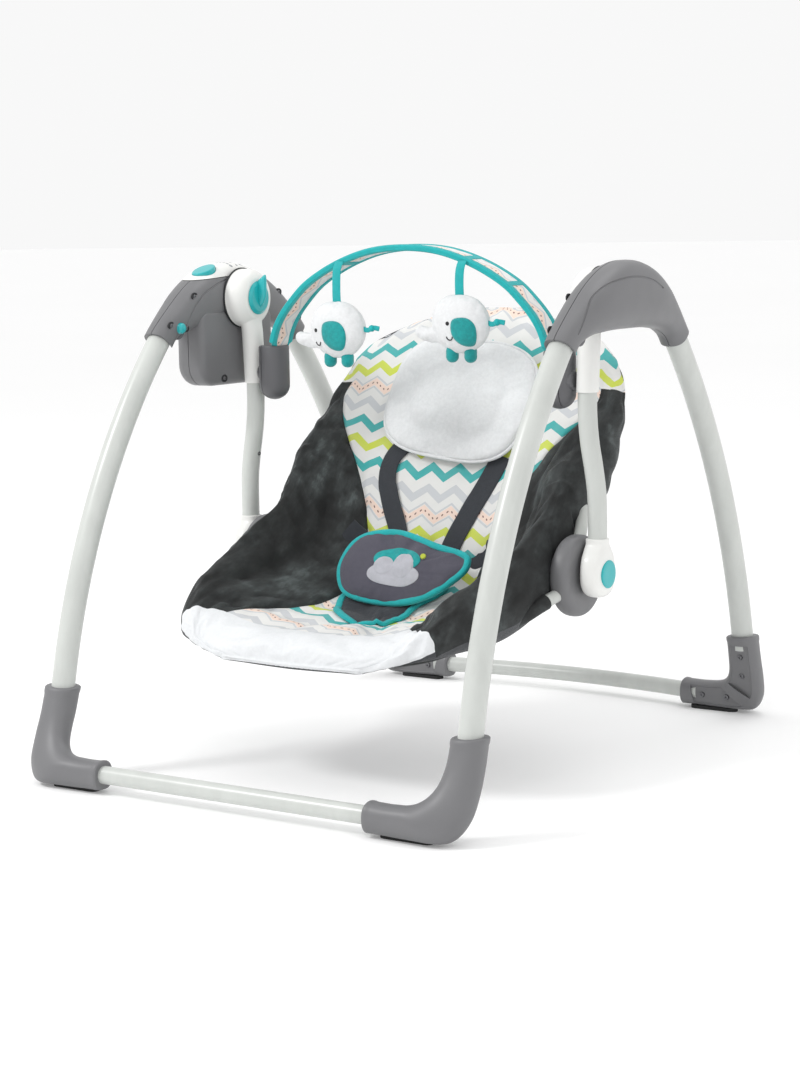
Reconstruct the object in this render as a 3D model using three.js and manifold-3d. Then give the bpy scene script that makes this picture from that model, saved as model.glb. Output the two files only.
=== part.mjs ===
// Portable baby swing: a folding tube frame, two powered hanger arms, a padded reclining seat
// and a toy bar. Millimetres, +Z up, the child faces -Y. The origin is on the floor, straight
// below the swing axis; left is -X (motor side), right is +X.
import * as THREE from 'three';
import { ParametricGeometry } from 'three/addons/geometries/ParametricGeometry.js';
import { mergeVertices } from 'three/addons/utils/BufferGeometryUtils.js';
import Module from 'manifold-3d';

const wasm = await Module();
wasm.setup();

// ---------------------------------------------------------------- driving dimensions
const GAP = 0.3;                  // air between pieces that touch
const AXIS_Z = 502;               // swing axis above the floor
const RECLINE_Z = 208;            // seat pivot above the floor

const LEG_X = 256.5;              // middle plane of the legs
const LEG_R = 12.7;               // 25.4 mm steel tube
const LEG_BORE_R = 11.3;
const LEG_CLEARANCE = 0.7;        // between a leg and the plastic round it
const LEG_TOP = { y: 127, z: 457 };      // where a leg leaves its housing
const LEG_END = { y: 306, z: 95 };       // where it enters its foot
const LEG_BOW = 26;               // how far the middle of a leg bows outwards
const FOLD = { y: -107, z: 471.5 };      // pivot of the front legs
const FOLD_DEGREES = 55;

const FOOT_ARM_END_X = 168;       // inner end of a foot
const FRONT_ARM_Y = -348;         // middle of the front cross tube
const REAR_ARM_Y = 336.5;         // rear cross tube where it enters the feet
const ARM_Z = 19.6;
const CROSS_R = 9.5;              // 19 mm steel tube
const CROSS_BORE_R = 8.2;
const REAR_BOW = 16.6;            // how far the rear cross tube bows backwards
const CROSS_END_X = 188;
const PAD_TOP = 3.9;              // rubber pad thickness

const HOUSING_WALL = 2.4;
const BOX = { x0: 236, x1: 278, y0: -74, y1: 62, z0: 403, z1: 490 };   // battery box
const BOX_WALL = 2.6;

const PIN_R = 6.2;                // fold pins
const PIN_END = { x0: 247, x1: 269.6 };
const RELEASE_R = 6;              // leg release buttons
const RELEASE = { x0: 234.5, x1: 241 };

const HUB_R = 33;
const HUB_FACE_X = 211;           // face of a hub towards the child
const HUB_BACK_X = 234.4;         // face of a hub towards its housing
const SHAFT_R = 6;

const HANGER_R = 10.25;
const HANGER_BORE_R = 8.8;
const LOWER_HUB_X = 229.3;
const SEAT_HUB_R = 44;
const SEAT_HUB = { x0: 191, x1: 215 };

const TANG = { y0: -14, y1: 6, z: 449 };   // narrow ends of the arch inside the pods
const TOY_BAR = { y0: -21, y1: 15, thick: 5, pivotY: -4, pivotZ: 417 };
const POD = { x: 187.3, y: -4, half: 16.8, z0: 386, z1: 448 };
const SEAT_TUBE_R = 7;
const TUBE_STEPS = 16;

// ---------------------------------------------------------------- colours
const finish = (color, roughness, metalness = 0) => () =>
  new THREE.MeshStandardMaterial({ color, roughness, metalness });
const paintedTube = finish(0xd3d5cd, 0.38, 0.1);
const greyPlastic = finish(0x76777a, 0.55);
const darkPlastic = finish(0x626366, 0.5);
const whitePlastic = finish(0xe9e9e6, 0.4);
const tealPlastic = finish(0x18b3b4, 0.35);
const blackRubber = finish(0x1c1c1d, 0.9);
const bareSteel = finish(0xb4b6b8, 0.3, 1);
const velour = finish(0x2e3031, 0.95);
const paleCloth = finish(0xe4e4e4, 0.9);
const webbing = finish(0x33363a, 0.9);
const purpleCloth = finish(0x5a5665, 0.9);
const chevronCloth = finish(0xd5e6e3, 0.9);
const boardGreen = finish(0x2f6b45, 0.6);
const cellWrap = finish(0x3a3a3c, 0.4, 0.3);
const paperBlack = finish(0x252525, 0.8);

// ---------------------------------------------------------------- geometry helpers
const vec = (x, y, z) => new THREE.Vector3(x, y, z);

function signedVolume(position, index) {
  const [a, b, c] = [vec(0, 0, 0), vec(0, 0, 0), vec(0, 0, 0)];
  let total = 0;
  for (let i = 0; i < index.length; i += 3) {
    a.fromBufferAttribute(position, index[i]);
    b.fromBufferAttribute(position, index[i + 1]);
    c.fromBufferAttribute(position, index[i + 2]);
    total += a.dot(b.cross(c)) / 6;
  }
  return total;
}

// Welds a closed geometry, drops triangles without area and turns all faces outwards.
function closed(geometry) {
  const bare = geometry.clone();
  bare.deleteAttribute('normal');
  bare.deleteAttribute('uv');
  const merged = mergeVertices(bare, 1e-3);
  const kept = [];
  for (let i = 0; i < merged.index.count; i += 3) {
    const tri = [0, 1, 2].map((k) => merged.index.getX(i + k));
    if (new Set(tri).size === 3) kept.push(...tri);
  }
  if (signedVolume(merged.attributes.position, kept) < 0) kept.reverse();
  merged.setIndex(kept);
  return merged;
}

function toManifold(geometry) {
  const { attributes, index } = closed(geometry);
  const vertProperties = new Float32Array(attributes.position.array);
  return new wasm.Manifold(new wasm.Mesh({
    numProp: 3, vertProperties, triVerts: new Uint32Array(index.array),
  }));
}

function toGeometry(manifold) {
  const { vertProperties, triVerts, numProp } = manifold.getMesh();
  const geometry = new THREE.BufferGeometry();
  const position = new Float32Array(triVerts.length * 3);
  triVerts.forEach((vertex, i) => {
    for (let k = 0; k < 3; k++) position[3 * i + k] = vertProperties[vertex * numProp + k];
  });
  geometry.setAttribute('position', new THREE.BufferAttribute(position, 3));
  return geometry;
}

const combine = (method, first, others) =>
  toGeometry(others.reduce((sum, other) => sum[method](toManifold(other)), toManifold(first)));
const join = (first, ...others) => combine('add', first, others);
const cut = (first, ...others) => combine('subtract', first, others);
const common = (first, ...others) => combine('intersect', first, others);

// Mirrors a right-hand geometry to the left (side -1) or to the front/rear.
function flip(geometry, sideX, sideY = 1) {
  const copy = geometry.clone().scale(sideX, sideY, 1);
  return closed(copy);
}

function box(x0, x1, y0, y1, z0, z1) {
  return new THREE.BoxGeometry(x1 - x0, y1 - y0, z1 - z0)
    .translate((x0 + x1) / 2, (y0 + y1) / 2, (z0 + z1) / 2);
}

// A disc or pin along X between two x values.
function pinX(x0, x1, y, z, radius, sides = 16) {
  return new THREE.CylinderGeometry(radius, radius, x1 - x0, sides)
    .rotateZ(Math.PI / 2).translate((x0 + x1) / 2, y, z);
}

// A turned piece about X; the profile is a list of [x, radius] that starts and ends on the axis.
function turnedX(profile, y, z, sides = 24) {
  const points = profile.map(([x, radius]) => new THREE.Vector2(radius, x));
  return new THREE.LatheGeometry(points, sides).rotateZ(-Math.PI / 2).translate(0, y, z);
}

// A ring of points on a superellipse with half axes a and b.
function ring(centre, a, b, sides, power = 2) {
  const round = (value) => Math.sign(value) * Math.abs(value) ** (2 / power);
  return Array.from({ length: sides }, (_, i) => {
    const angle = (2 * Math.PI * i) / sides;
    return centre.clone().addScaledVector(a, round(Math.cos(angle)))
      .addScaledVector(b, round(Math.sin(angle)));
  });
}

// A closed skin over rings that all have the same number of points.
function loft(rings) {
  const sides = rings[0].length;
  const stacks = rings.length + 1;
  const middle = (points) =>
    points.reduce((sum, p) => sum.add(p), vec(0, 0, 0)).divideScalar(points.length);
  const place = (u, v, target) => {
    const row = Math.round(v * stacks) - 1;
    const points = rings[THREE.MathUtils.clamp(row, 0, rings.length - 1)];
    const onCap = row < 0 || row === rings.length;
    target.copy(onCap ? middle(points) : points[Math.round(u * sides) % sides]);
  };
  return closed(new ParametricGeometry(place, sides, stacks));
}

// A round bar or tube swept along a curve; without a bore it is solid.
function tube(curve, steps, radius, bore = 0, sides = 12) {
  const shape = new THREE.Shape().absarc(0, 0, radius, 0, 2 * Math.PI);
  if (bore) shape.holes.push(new THREE.Path().absarc(0, 0, bore, 0, 2 * Math.PI, true));
  return closed(new THREE.ExtrudeGeometry(shape, {
    steps, extrudePath: curve, curveSegments: sides / 2,
  }));
}

const spline = (points) => new THREE.CatmullRomCurve3(points.map((p) => vec(...p)));

// An extruded side profile: [y, z] points swept along X from x0 to x1.
function slabX(points, x0, x1) {
  const shape = new THREE.Shape(points.map(([y, z]) => new THREE.Vector2(y, z)));
  return new THREE.ExtrudeGeometry(shape, { depth: x1 - x0, bevelEnabled: false })
    .rotateZ(Math.PI / 2).rotateY(Math.PI / 2).translate(x0, 0, 0);
}

// ---------------------------------------------------------------- scene graph
const swing = new THREE.Group();
const groups = {};
for (const name of ['rearFrame', 'frontFrame', 'controls', 'hangers', 'toyBar', 'seat']) {
  groups[name] = new THREE.Group();
  swing.add(groups[name]);
}

function add(group, name, geometry, material) {
  const mesh = new THREE.Mesh(geometry, material());
  mesh.name = name;
  groups[group].add(mesh);
  return mesh;
}

const SIDES = [['left', -1], ['right', 1]];

// ---------------------------------------------------------------- legs
// Legs are arcs in the planes x = +-LEG_X. The arc goes through LEG_TOP and LEG_END.
const chord = Math.hypot(LEG_END.y - LEG_TOP.y, LEG_TOP.z - LEG_END.z);
const LEG_ARC_R = (chord * chord / 4 + LEG_BOW * LEG_BOW) / (2 * LEG_BOW);
const outwards = {
  y: (LEG_TOP.z - LEG_END.z) / chord,
  z: (LEG_END.y - LEG_TOP.y) / chord,
};
const arcCentre = {
  y: (LEG_TOP.y + LEG_END.y) / 2 - outwards.y * (LEG_ARC_R - LEG_BOW),
  z: (LEG_TOP.z + LEG_END.z) / 2 - outwards.z * (LEG_ARC_R - LEG_BOW),
};
const angleOf = (point) => Math.atan2(point.z - arcCentre.z, point.y - arcCentre.y);
const TOP_ANGLE = angleOf(LEG_TOP);
const END_ANGLE = angleOf(LEG_END);

// A stretch of a leg's arc; lengths in mm past LEG_TOP (up) and past LEG_END (down).
class LegArc extends THREE.Curve {
  constructor(facing, pastTop, pastEnd) {
    super();
    this.facing = facing;
    this.from = TOP_ANGLE + pastTop / LEG_ARC_R;
    this.to = END_ANGLE - pastEnd / LEG_ARC_R;
  }

  getPoint(t, target = vec(0, 0, 0)) {
    const angle = THREE.MathUtils.lerp(this.from, this.to, t);
    const y = arcCentre.y + LEG_ARC_R * Math.cos(angle);
    const z = arcCentre.z + LEG_ARC_R * Math.sin(angle);
    return target.set(LEG_X, this.facing * y, z);
  }
}

const FRONT = -1;
const REAR = 1;
const LEG_IN_FOOT = 34;           // how deep a leg stands in its foot
const FRONT_LEG_PAST_TOP = 8.5;   // the front tube ends under its pivot head
const REAR_LEG_PAST_TOP = 40;

function leg(facing, pastTop, radius, bore, pastEnd = LEG_IN_FOOT) {
  return tube(new LegArc(facing, pastTop, pastEnd), 7, radius, bore, 10);
}

// A fat stretch of leg, used to make room for the tube in a foot or a housing.
function legStretch(facing, aboveEnd, pastEnd) {
  const arc = new LegArc(facing, 0, pastEnd);
  arc.from = END_ANGLE + aboveEnd / LEG_ARC_R;
  return tube(arc, 3, LEG_R + LEG_CLEARANCE, 0, 10);
}

// Pivot head of a front leg: an eye round the fold pin with a plug inside the tube.
function legHead() {
  const PLUG_LENGTH = 46;
  const EYE_R = 13;
  const EYE_HALF = 12.2;
  const plugArc = new LegArc(FRONT, FRONT_LEG_PAST_TOP + 14, 0);
  plugArc.to = plugArc.from - PLUG_LENGTH / LEG_ARC_R;
  const eye = pinX(LEG_X - EYE_HALF, LEG_X + EYE_HALF, FOLD.y, FOLD.z, EYE_R, 16);
  const bore = pinX(LEG_X - 20, LEG_X + 20, FOLD.y, FOLD.z, PIN_R + GAP, 12);
  return cut(join(eye, tube(plugArc, 3, LEG_BORE_R - 0.9, 0, 10)), bore);
}

// ---------------------------------------------------------------- feet
// Each row is one section of a foot: the outer and inner edge in the x-z plane, how far the
// section has moved from the leg (0) to the cross tube (1) in y, and half its thickness.
const FOOT_SECTIONS = [
  { outer: [274.5, 98], inner: [238.5, 96], reach: 0, half: 17 },
  { outer: [275, 71], inner: [238, 73], reach: 0.2, half: 17.2 },
  { outer: [275, 46], inner: [235.5, 56], reach: 0.45, half: 17.5 },
  { outer: [272.5, 24], inner: [229.5, 44.5], reach: 0.7, half: 17.5 },
  { outer: [263, 8], inner: [220, 37.5], reach: 0.9, half: 17 },
  { outer: [249, 2], inner: [209, 34.5], reach: 1, half: 16.5 },
  { outer: [228, 1.6], inner: [197, 33.6], reach: 1, half: 16 },
  { outer: [200, 2.4], inner: [186, 33.4], reach: 1, half: 15.2 },
  { outer: [FOOT_ARM_END_X, 3.4], inner: [FOOT_ARM_END_X, 34], reach: 1, half: 14.6 },
];
const FOOT_SIDES = 12;

function foot(facing, armY, crossTube) {
  const startY = LEG_END.y;
  const rings = FOOT_SECTIONS.map(({ outer, inner, reach, half }) => {
    const y = facing * THREE.MathUtils.lerp(startY, Math.abs(armY), reach);
    const centre = vec((outer[0] + inner[0]) / 2, y, (outer[1] + inner[1]) / 2);
    const across = vec((outer[0] - inner[0]) / 2, 0, (outer[1] - inner[1]) / 2);
    return ring(centre, across, vec(0, half, 0), FOOT_SIDES, 2.4);
  });
  const legHole = legStretch(facing, 40, LEG_IN_FOOT + 1);
  const floor = box(140, 300, -400, 400, -20, PAD_TOP + GAP);
  return cut(loft(rings), legHole, crossTube, floor);
}

function rubberPad(facing, armY) {
  const LENGTH = 60;
  const HALF_WIDTH = 7.5;
  const middleX = 208;
  const middleY = facing * (Math.abs(armY) - 4);
  const shape = new THREE.Shape();
  const straight = LENGTH / 2 - HALF_WIDTH;
  shape.absarc(straight, 0, HALF_WIDTH, -Math.PI / 2, Math.PI / 2);
  shape.absarc(-straight, 0, HALF_WIDTH, Math.PI / 2, 1.5 * Math.PI);
  return new THREE.ExtrudeGeometry(shape, { depth: PAD_TOP, bevelEnabled: false, curveSegments: 3 })
    .translate(middleX, middleY, 0);
}

// ---------------------------------------------------------------- cross tubes
class BowedTube extends THREE.Curve {
  constructor(armY, bow, endX) {
    super();
    Object.assign(this, { armY, bow, endX });
  }

  getPoint(t, target = vec(0, 0, 0)) {
    const x = THREE.MathUtils.lerp(-this.endX, this.endX, t);
    const y = this.armY + this.bow * (1 - (x / FOOT_ARM_END_X) ** 2);
    return target.set(x, y, ARM_Z);
  }
}

const frontCross = (radius, bore, extra = 0) =>
  tube(new BowedTube(FRONT_ARM_Y, 0, CROSS_END_X + extra), 1, radius, bore);
const rearCross = (radius, bore, extra = 0) =>
  tube(new BowedTube(REAR_ARM_Y, REAR_BOW, CROSS_END_X + extra), 8, radius, bore, 10);

// ---------------------------------------------------------------- housings
// Half of the housing's arch, front to top: top and bottom edge [y, z] and inner and outer x.
const ARCH = [
  { top: [-139.5, 467], bottom: [-115.5, 446.5], x: [LEG_X - 15.6, LEG_X + 15.6] },
  { top: [-130, 476.5], bottom: [-104, 458.5], x: [LEG_X - 15.8, LEG_X + 16.2] },
  { top: [-106, 496.5], bottom: [-84, 466.5], x: [238.6, 277] },
  { top: [-80, 516], bottom: [-60, 469.5], x: [236.6, 282] },
  { top: [-50, 532], bottom: [-38, 471], x: [235.3, 285.6] },
  { top: [-22, 540.5], bottom: [-18, 471.5], x: [235, 287] },
];
const TOP_Z = 542.5;

function archRings(shrink, overrun) {
  const middle = { top: [0, TOP_Z], bottom: [0, 471.5], x: [235, 287] };
  const rear = ARCH.map(({ top, bottom, x }) => ({
    top: [-top[0], top[1]], bottom: [-bottom[0], bottom[1]], x,
  })).reverse();
  const rings = [...ARCH, middle, ...rear].map(({ top, bottom, x }) => {
    const centre = vec((x[0] + x[1]) / 2, (top[0] + bottom[0]) / 2, (top[1] + bottom[1]) / 2);
    const up = vec(0, top[0] - bottom[0], top[1] - bottom[1]).multiplyScalar(0.5);
    up.setLength(up.length() - shrink);
    const across = vec((x[1] - x[0]) / 2 - shrink, 0, 0);
    return ring(centre, across, up, 14, 2.5);
  });
  if (overrun) {
    const along = vec(0, -0.656, -0.755).multiplyScalar(overrun);
    rings.unshift(rings[0].map((p) => p.clone().add(along)));
    rings.push(rings[rings.length - 1].map((p) => p.clone().add(vec(0, -along.y, along.z))));
  }
  return rings;
}

// The battery box: upright, with round corners and a round bottom edge.
function roundedBox(shrink) {
  const { x0, x1, y0, y1, z0, z1 } = BOX;
  const corners = [
    { x: x1, y: y0, r: 22, from: -90 }, { x: x1, y: y1, r: 22, from: 0 },
    { x: x0, y: y1, r: 11, from: 90 }, { x: x0, y: y0, r: 11, from: 180 },
  ];
  const outline = (inset, z) => corners.flatMap(({ x, y, r, from }) => {
    const centre = vec(x - Math.sign(x - x0 - 1) * r, y - Math.sign(y) * r, z);
    return [0, 30, 60, 90].map((step) => {
      const angle = THREE.MathUtils.degToRad(from + step);
      const reach = r - shrink - inset;
      return centre.clone().add(vec(reach * Math.cos(angle), reach * Math.sin(angle), 0));
    });
  });
  const bottom = z0 + shrink;
  const rows = [[7.5, 0], [3.5, 2], [1, 5], [0, 9], [0, z1 - bottom]];
  return loft(rows.map(([inset, lift]) => outline(inset, bottom + lift)));
}

// Room for a front leg between its two stops, between the cheeks of the housing.
function legSweep() {
  const HALF = LEG_R + 0.6;
  const REACH = 75;
  const closedAngle = THREE.MathUtils.degToRad(41 - FOLD_DEGREES);
  const openAngle = THREE.MathUtils.degToRad(41);
  const down = (angle) => [-Math.sin(angle), -Math.cos(angle)];
  const side = (angle) => [-Math.cos(angle), Math.sin(angle)];
  const at = (angle, along, across) => {
    const [d, s] = [down(angle), side(angle)];
    return [FOLD.y + along * d[0] + across * s[0], FOLD.z + along * d[1] + across * s[1]];
  };
  const AXIS_OFFSET = 5.4;        // the leg's middle line passes this far in front of the pivot
  const rear = AXIS_OFFSET - HALF;
  const points = [
    at(openAngle, 0, AXIS_OFFSET), at(openAngle, REACH, AXIS_OFFSET), at(closedAngle, REACH, rear),
    at(closedAngle, 0, rear - 8),
  ];
  return slabX(points, LEG_X - HALF, LEG_X + HALF);
}

const PANEL_EDGE = { y0: -96, z0: 521.5, y1: 60, z1: 534 };   // lower edge of the white panel

function panelVolume(drop) {
  const { y0, z0, y1, z1 } = PANEL_EDGE;
  return slabX([[y0, z0 - drop], [y1, z1 - drop], [y1, 600], [y0, 600]], 200, 320);
}

const POWER = { y: -42, tilt: THREE.MathUtils.degToRad(20), halfX: 12, halfY: 16 };
POWER.z = 535;

// An upright oval on the panel, square to the panel's slope, from depth a to depth b.
function ovalOnPanel(grow, low, high) {
  return new THREE.CylinderGeometry(1, 1, high - low, 20).rotateX(Math.PI / 2)
    .scale(POWER.halfX + grow, POWER.halfY + grow, 1).translate(0, 0, (low + high) / 2)
    .rotateX(POWER.tilt).translate(LEG_X, POWER.y, POWER.z);
}

const DOOR = { y0: -44, y1: 40, z0: 414, z1: 462 };
const doorPlate = (grow, x0, x1) =>
  box(x0, x1, DOOR.y0 - grow, DOOR.y1 + grow, DOOR.z0 - grow, DOOR.z1 + grow);

const innerHalf = box(200, LEG_X - GAP / 2, -200, 200, 380, 600);
const outerHalf = box(LEG_X + GAP / 2, 320, -200, 200, 380, 600);

// Room for the top of a leg, which reaches pastTop into its housing.
function legRoom(facing, pastTop) {
  const arc = new LegArc(facing, pastTop, 0);
  arc.to = TOP_ANGLE - 12 / LEG_ARC_R;
  return tube(arc, 2, LEG_R + LEG_CLEARANCE, 0, 10);
}

const headRoom = () => pinX(LEG_X - 12.6, LEG_X + 12.6, FOLD.y, FOLD.z, 13.6, 16);
const shaftHole = () => pinX(225, 250, 0, AXIS_Z, SHAFT_R + GAP, 12);
const releaseHole = () => pinX(225, 250, FOLD.y, FOLD.z, RELEASE_R + GAP, 12);

function housings(withBox) {
  let body = loft(archRings(0, 0));
  let hollow = loft(archRings(HOUSING_WALL, 4));
  if (withBox) {
    body = join(body, roundedBox(0));
    hollow = join(hollow, roundedBox(BOX_WALL));
  }
  const cheeks = legSweep();
  const rooms = [cheeks, headRoom(), legRoom(REAR, REAR_LEG_PAST_TOP + 2),
    legRoom(FRONT, FRONT_LEG_PAST_TOP + 1)];
  const shell = cut(body, hollow, ...rooms, shaftHole(), releaseHole());
  if (!withBox) return { inner: common(shell, innerHalf), outer: common(shell, outerHalf) };
  const skin = cut(shell, panelVolume(GAP));
  const panel = cut(common(shell, panelVolume(0)), ovalOnPanel(0.4, -20, 20));
  return {
    inner: common(skin, innerHalf),
    outer: cut(common(skin, outerHalf), doorPlate(GAP, BOX.x1 - 8, BOX.x1 + 5)),
    panel,
  };
}

// ---------------------------------------------------------------- hanger arms
function hangerPath(topZ, bottomZ) {
  const points = [
    [220.5, 0, 470], [219, 0, 430], [218, 0, 400], [218.4, 0, 375], [220.8, 0, 350],
    [225, 0, 325], [228.4, 0, 300], [229.4, 0, 275], [229.4, 0, 246],
  ];
  points[0][2] = topZ;
  points[points.length - 1][2] = bottomZ;
  return spline(points);
}

function armHub() {
  const disc = turnedX([
    [HUB_FACE_X, 0], [HUB_FACE_X, 21], [213.5, 27], [218, 31.5], [224, HUB_R],
    [231, HUB_R], [HUB_BACK_X, 31.5], [HUB_BACK_X, 0],
  ], 0, AXIS_Z, 18);
  const neckRows = [
    { x: 222.4, z: 492, a: 10.4, b: 24 }, { x: 221.8, z: 476, a: 10.6, b: 15.5 },
    { x: 220.4, z: 460, a: 12.2, b: 12.4 }, { x: 219.2, z: 430, a: 12.1, b: 12.1 },
    { x: 218.2, z: 405, a: 12, b: 12 },
  ];
  const neck = loft(neckRows.map(({ x, z, a, b }) => ring(vec(x, 0, z), vec(a, 0, 0), vec(0, b, 0), 10)));
  const tubeHole = tube(hangerPath(470 + GAP, 246), 10, HANGER_R + 0.5, 0, 10);
  const shaft = pinX(219.5, 240, 0, AXIS_Z, SHAFT_R + GAP, 12);
  return cut(join(disc, neck), tubeHole, shaft);
}

const RECLINE_BUTTON = { x0: 238.6, x1: 242.9, r: 15, z: 212 };

function pinZ(x, z0, z1, radius, y = 0) {
  return new THREE.CylinderGeometry(radius, radius, z1 - z0, 12)
    .rotateX(Math.PI / 2).translate(x, y, (z0 + z1) / 2);
}

function lowerHub() {
  const rows = [
    { z: 249, a: 11.6, b: 11.6 }, { z: 243, a: 11.8, b: 11.8 }, { z: 238, a: 12.6, b: 16 },
    { z: 229, a: 13.1, b: 23 }, { z: 218, a: 13.2, b: 26.5 }, { z: 206, a: 13.2, b: 26.5 },
    { z: 197, a: 13, b: 22.5 }, { z: 190.5, a: 11.5, b: 15 }, { z: 187, a: 7, b: 7 },
  ];
  const egg = loft(rows.map(({ z, a, b }) =>
    ring(vec(LOWER_HUB_X, 0, z), vec(a, 0, 0), vec(0, b, 0), 12, 2.6)));
  const recess = pinX(236, 250, 0, RECLINE_BUTTON.z, RECLINE_BUTTON.r + 0.4, 16);
  const axleHole = pinX(210, 231, 0, RECLINE_Z, 8 + GAP, 12);
  const tubeSeat = pinZ(LOWER_HUB_X, 245.6, 255, HANGER_R + 0.6);
  return cut(egg, recess, axleHole, tubeSeat);
}

// Swing lock knob: a disc with an upright grip, on the face of the motor-side hub.
function lockKnob() {
  const face = HUB_FACE_X - GAP;
  const disc = turnedX([
    [face - 3, 0], [face - 3, 15.5], [face - 1.8, 17.5], [face, 18], [face, 0],
  ], 0, AXIS_Z);
  const gripRows = [
    { x: face - 1, z0: -9, z1: 21, half: 3.4 }, { x: face - 5, z0: -4, z1: 24, half: 3 },
    { x: face - 9, z0: 4, z1: 26.5, half: 2.4 }, { x: face - 11, z0: 9, z1: 26, half: 1.6 },
  ];
  const grip = loft(gripRows.map(({ x, z0, z1, half }) =>
    ring(vec(x, 0, AXIS_Z + (z0 + z1) / 2), vec(0, half, 0), vec(0, 0, (z1 - z0) / 2), 8, 2.6)));
  return join(disc, grip);
}

// ---------------------------------------------------------------- toy bar
// Half of the arch from one pod to the top: [half width, height].
const ARCH_BAR = [
  [181, 436], [176, 460], [166, 480], [149, 500], [126, 520], [88, 540], [45, 553.5], [0, 557.5],
];

function toyArch(grow, y0, y1) {
  const right = ARCH_BAR.map(([x, z]) => vec(x, 0, z));
  const left = ARCH_BAR.slice(0, -1).map(([x, z]) => vec(-x, 0, z)).reverse();
  const middle = new THREE.CatmullRomCurve3([...right, ...left]);
  const count = 26;
  const half = TOY_BAR.thick / 2 + grow;
  const offset = (t, side) => {
    const p = middle.getPoint(t);
    const along = middle.getTangent(t);
    return new THREE.Vector2(p.x - side * half * along.z, p.z + side * half * along.x);
  };
  const steps = Array.from({ length: count + 1 }, (_, i) => i / count);
  const outline = [...steps.map((t) => offset(t, -1)), ...steps.reverse().map((t) => offset(t, 1))];
  return closed(new THREE.ExtrudeGeometry(new THREE.Shape(outline), {
    depth: y1 - y0, bevelEnabled: false,
  }).rotateX(Math.PI / 2).translate(0, y1, 0));
}

function pod() {
  const { x, y, half, z0, z1 } = POD;
  const dome = [0.35, 0.66, 0.87, 0.98].map((s) => ({ size: half * s, z: z0 + half * (1 - Math.sqrt(1 - s * s)) }));
  const rows = [...dome, { size: half, z: z0 + 22 }, { size: half, z: z1 }];
  const shell = loft(rows.map(({ size, z }) => ring(vec(x, y, z), vec(size, 0, 0), vec(0, size, 0), 14, 2.3)));
  const boss = pinX(x + half - 6, 205.8, TOY_BAR.pivotY, TOY_BAR.pivotZ, 9, 12);
  const slot = toyArch(0.5, TANG.y0 - 0.5, TANG.y1 + 0.5);
  return cut(join(shell, boss), slot);
}

const TOY = { x: 80, y: -30, ribbonTop: 538.5, bodyZ: { left: 468, right: 476 } };

const ball = (x, y, z, a, b, c, sides = 8) =>
  new THREE.SphereGeometry(1, sides, 6).scale(a, b, c).translate(x, y, z);

// A plush elephant seen from its side: trunk towards -X, with the ribbon that it hangs from.
function elephant(x, bodyZ) {
  const { y, ribbonTop } = TOY;
  const body = ball(x + 2, y, bodyZ, 33, 17, 30, 10);
  const trunk = ball(x - 33, y, bodyZ - 12, 19, 8, 8.5);
  const feet = [-10, 13].map((dx) => ball(x + dx, y, bodyZ - 32, 7, 8, 9));
  const ribbon = box(x - 5.5, x + 5.5, y - 1, y + 1, bodyZ + 25, ribbonTop);
  return join(body, trunk, ...feet, ribbon);
}

// ---------------------------------------------------------------- seat
// Sections of the padded tub, front to top. c is the middle of the seating surface [y, z],
// r the ridge of the side bolster [half width, y, z]; bulge is how far the bolster stands out,
// low the height of its lower edge above c, thick the padding at the middle.
const TUB = [
  { c: [-244, 136], r: [84, -244, 137], bulge: 4, low: -5, thick: 8 },
  { c: [-239, 151], r: [124, -237, 155], bulge: 9, low: -8, thick: 20 },
  { c: [-216, 160], r: [150, -218, 180], bulge: 15, low: -11, thick: 29 },
  { c: [-168, 157], r: [163, -176, 207], bulge: 17, low: -3, thick: 36 },
  { c: [-114, 154], r: [172, -114, 229], bulge: 17, low: 4, thick: 37 },
  { c: [-60, 157], r: [175, -67, 249], bulge: 15, low: 13, thick: 32 },
  { c: [-14, 171], r: [173, -25, 269], bulge: 13, low: 16, thick: 28 },
  { c: [18, 201], r: [173, -6, 286], bulge: 13, low: 12, thick: 27 },
  { c: [40, 240], r: [173, 9, 305], bulge: 15, low: 0, thick: 31 },
  { c: [60, 280], r: [173, 30, 326], bulge: 16, low: -26, thick: 36 },
  { c: [80, 324], r: [176, 62, 349], bulge: 15, low: -42, thick: 38 },
  { c: [101, 368], r: [182, 102, 376], bulge: 12, low: -34, thick: 37 },
  { c: [124, 408], r: [177, 130, 402], bulge: 9, low: -20, thick: 32 },
  { c: [144, 441], r: [154, 144, 431], bulge: 7, low: -14, thick: 28 },
  { c: [161, 468], r: [106, 159, 461], bulge: 6, low: -10, thick: 22 },
  { c: [171, 484], r: [44, 170, 482], bulge: 4, low: -4, thick: 12 },
];
const CUP = 3.1;                  // how sharply the seating surface turns up to the bolsters

function tubSection({ c, r, bulge, low, thick }) {
  const [w, ry, rz] = r;
  const up = vec(0, ry - c[0], rz - c[1]);
  const height = up.length();
  // A section's own "up" runs from the seating surface to the ridge; a flat one has none.
  const flat = c[0] < 0 ? vec(0, -0.35, 0.94) : vec(0, -0.9, 0.43);
  const normal = height > 12 ? up.clone().normalize() : flat;
  const at = (x, h, lift) => vec(x, c[0], c[1]).addScaledVector(up, lift).addScaledVector(normal, h);
  const inner = [0, 0.3, 0.55, 0.75, 0.9, 1].map((q) => at(w * q, 0, q ** CUP));
  const roll = [at(w + 0.6 * bulge, 0, 1), at(w + bulge, -0.9 * bulge, 1)];
  const under = [at(w + 0.6 * bulge, low, 0), at(0.74 * w, 0.45 * (low - thick), 0),
    at(0.4 * w, -0.9 * thick, 0)];
  const right = [...inner.slice(1), ...roll, ...under];
  const left = right.map((p) => vec(-p.x, p.y, p.z)).reverse();
  return [inner[0], ...right, at(0, -thick, 0), ...left];
}

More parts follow.
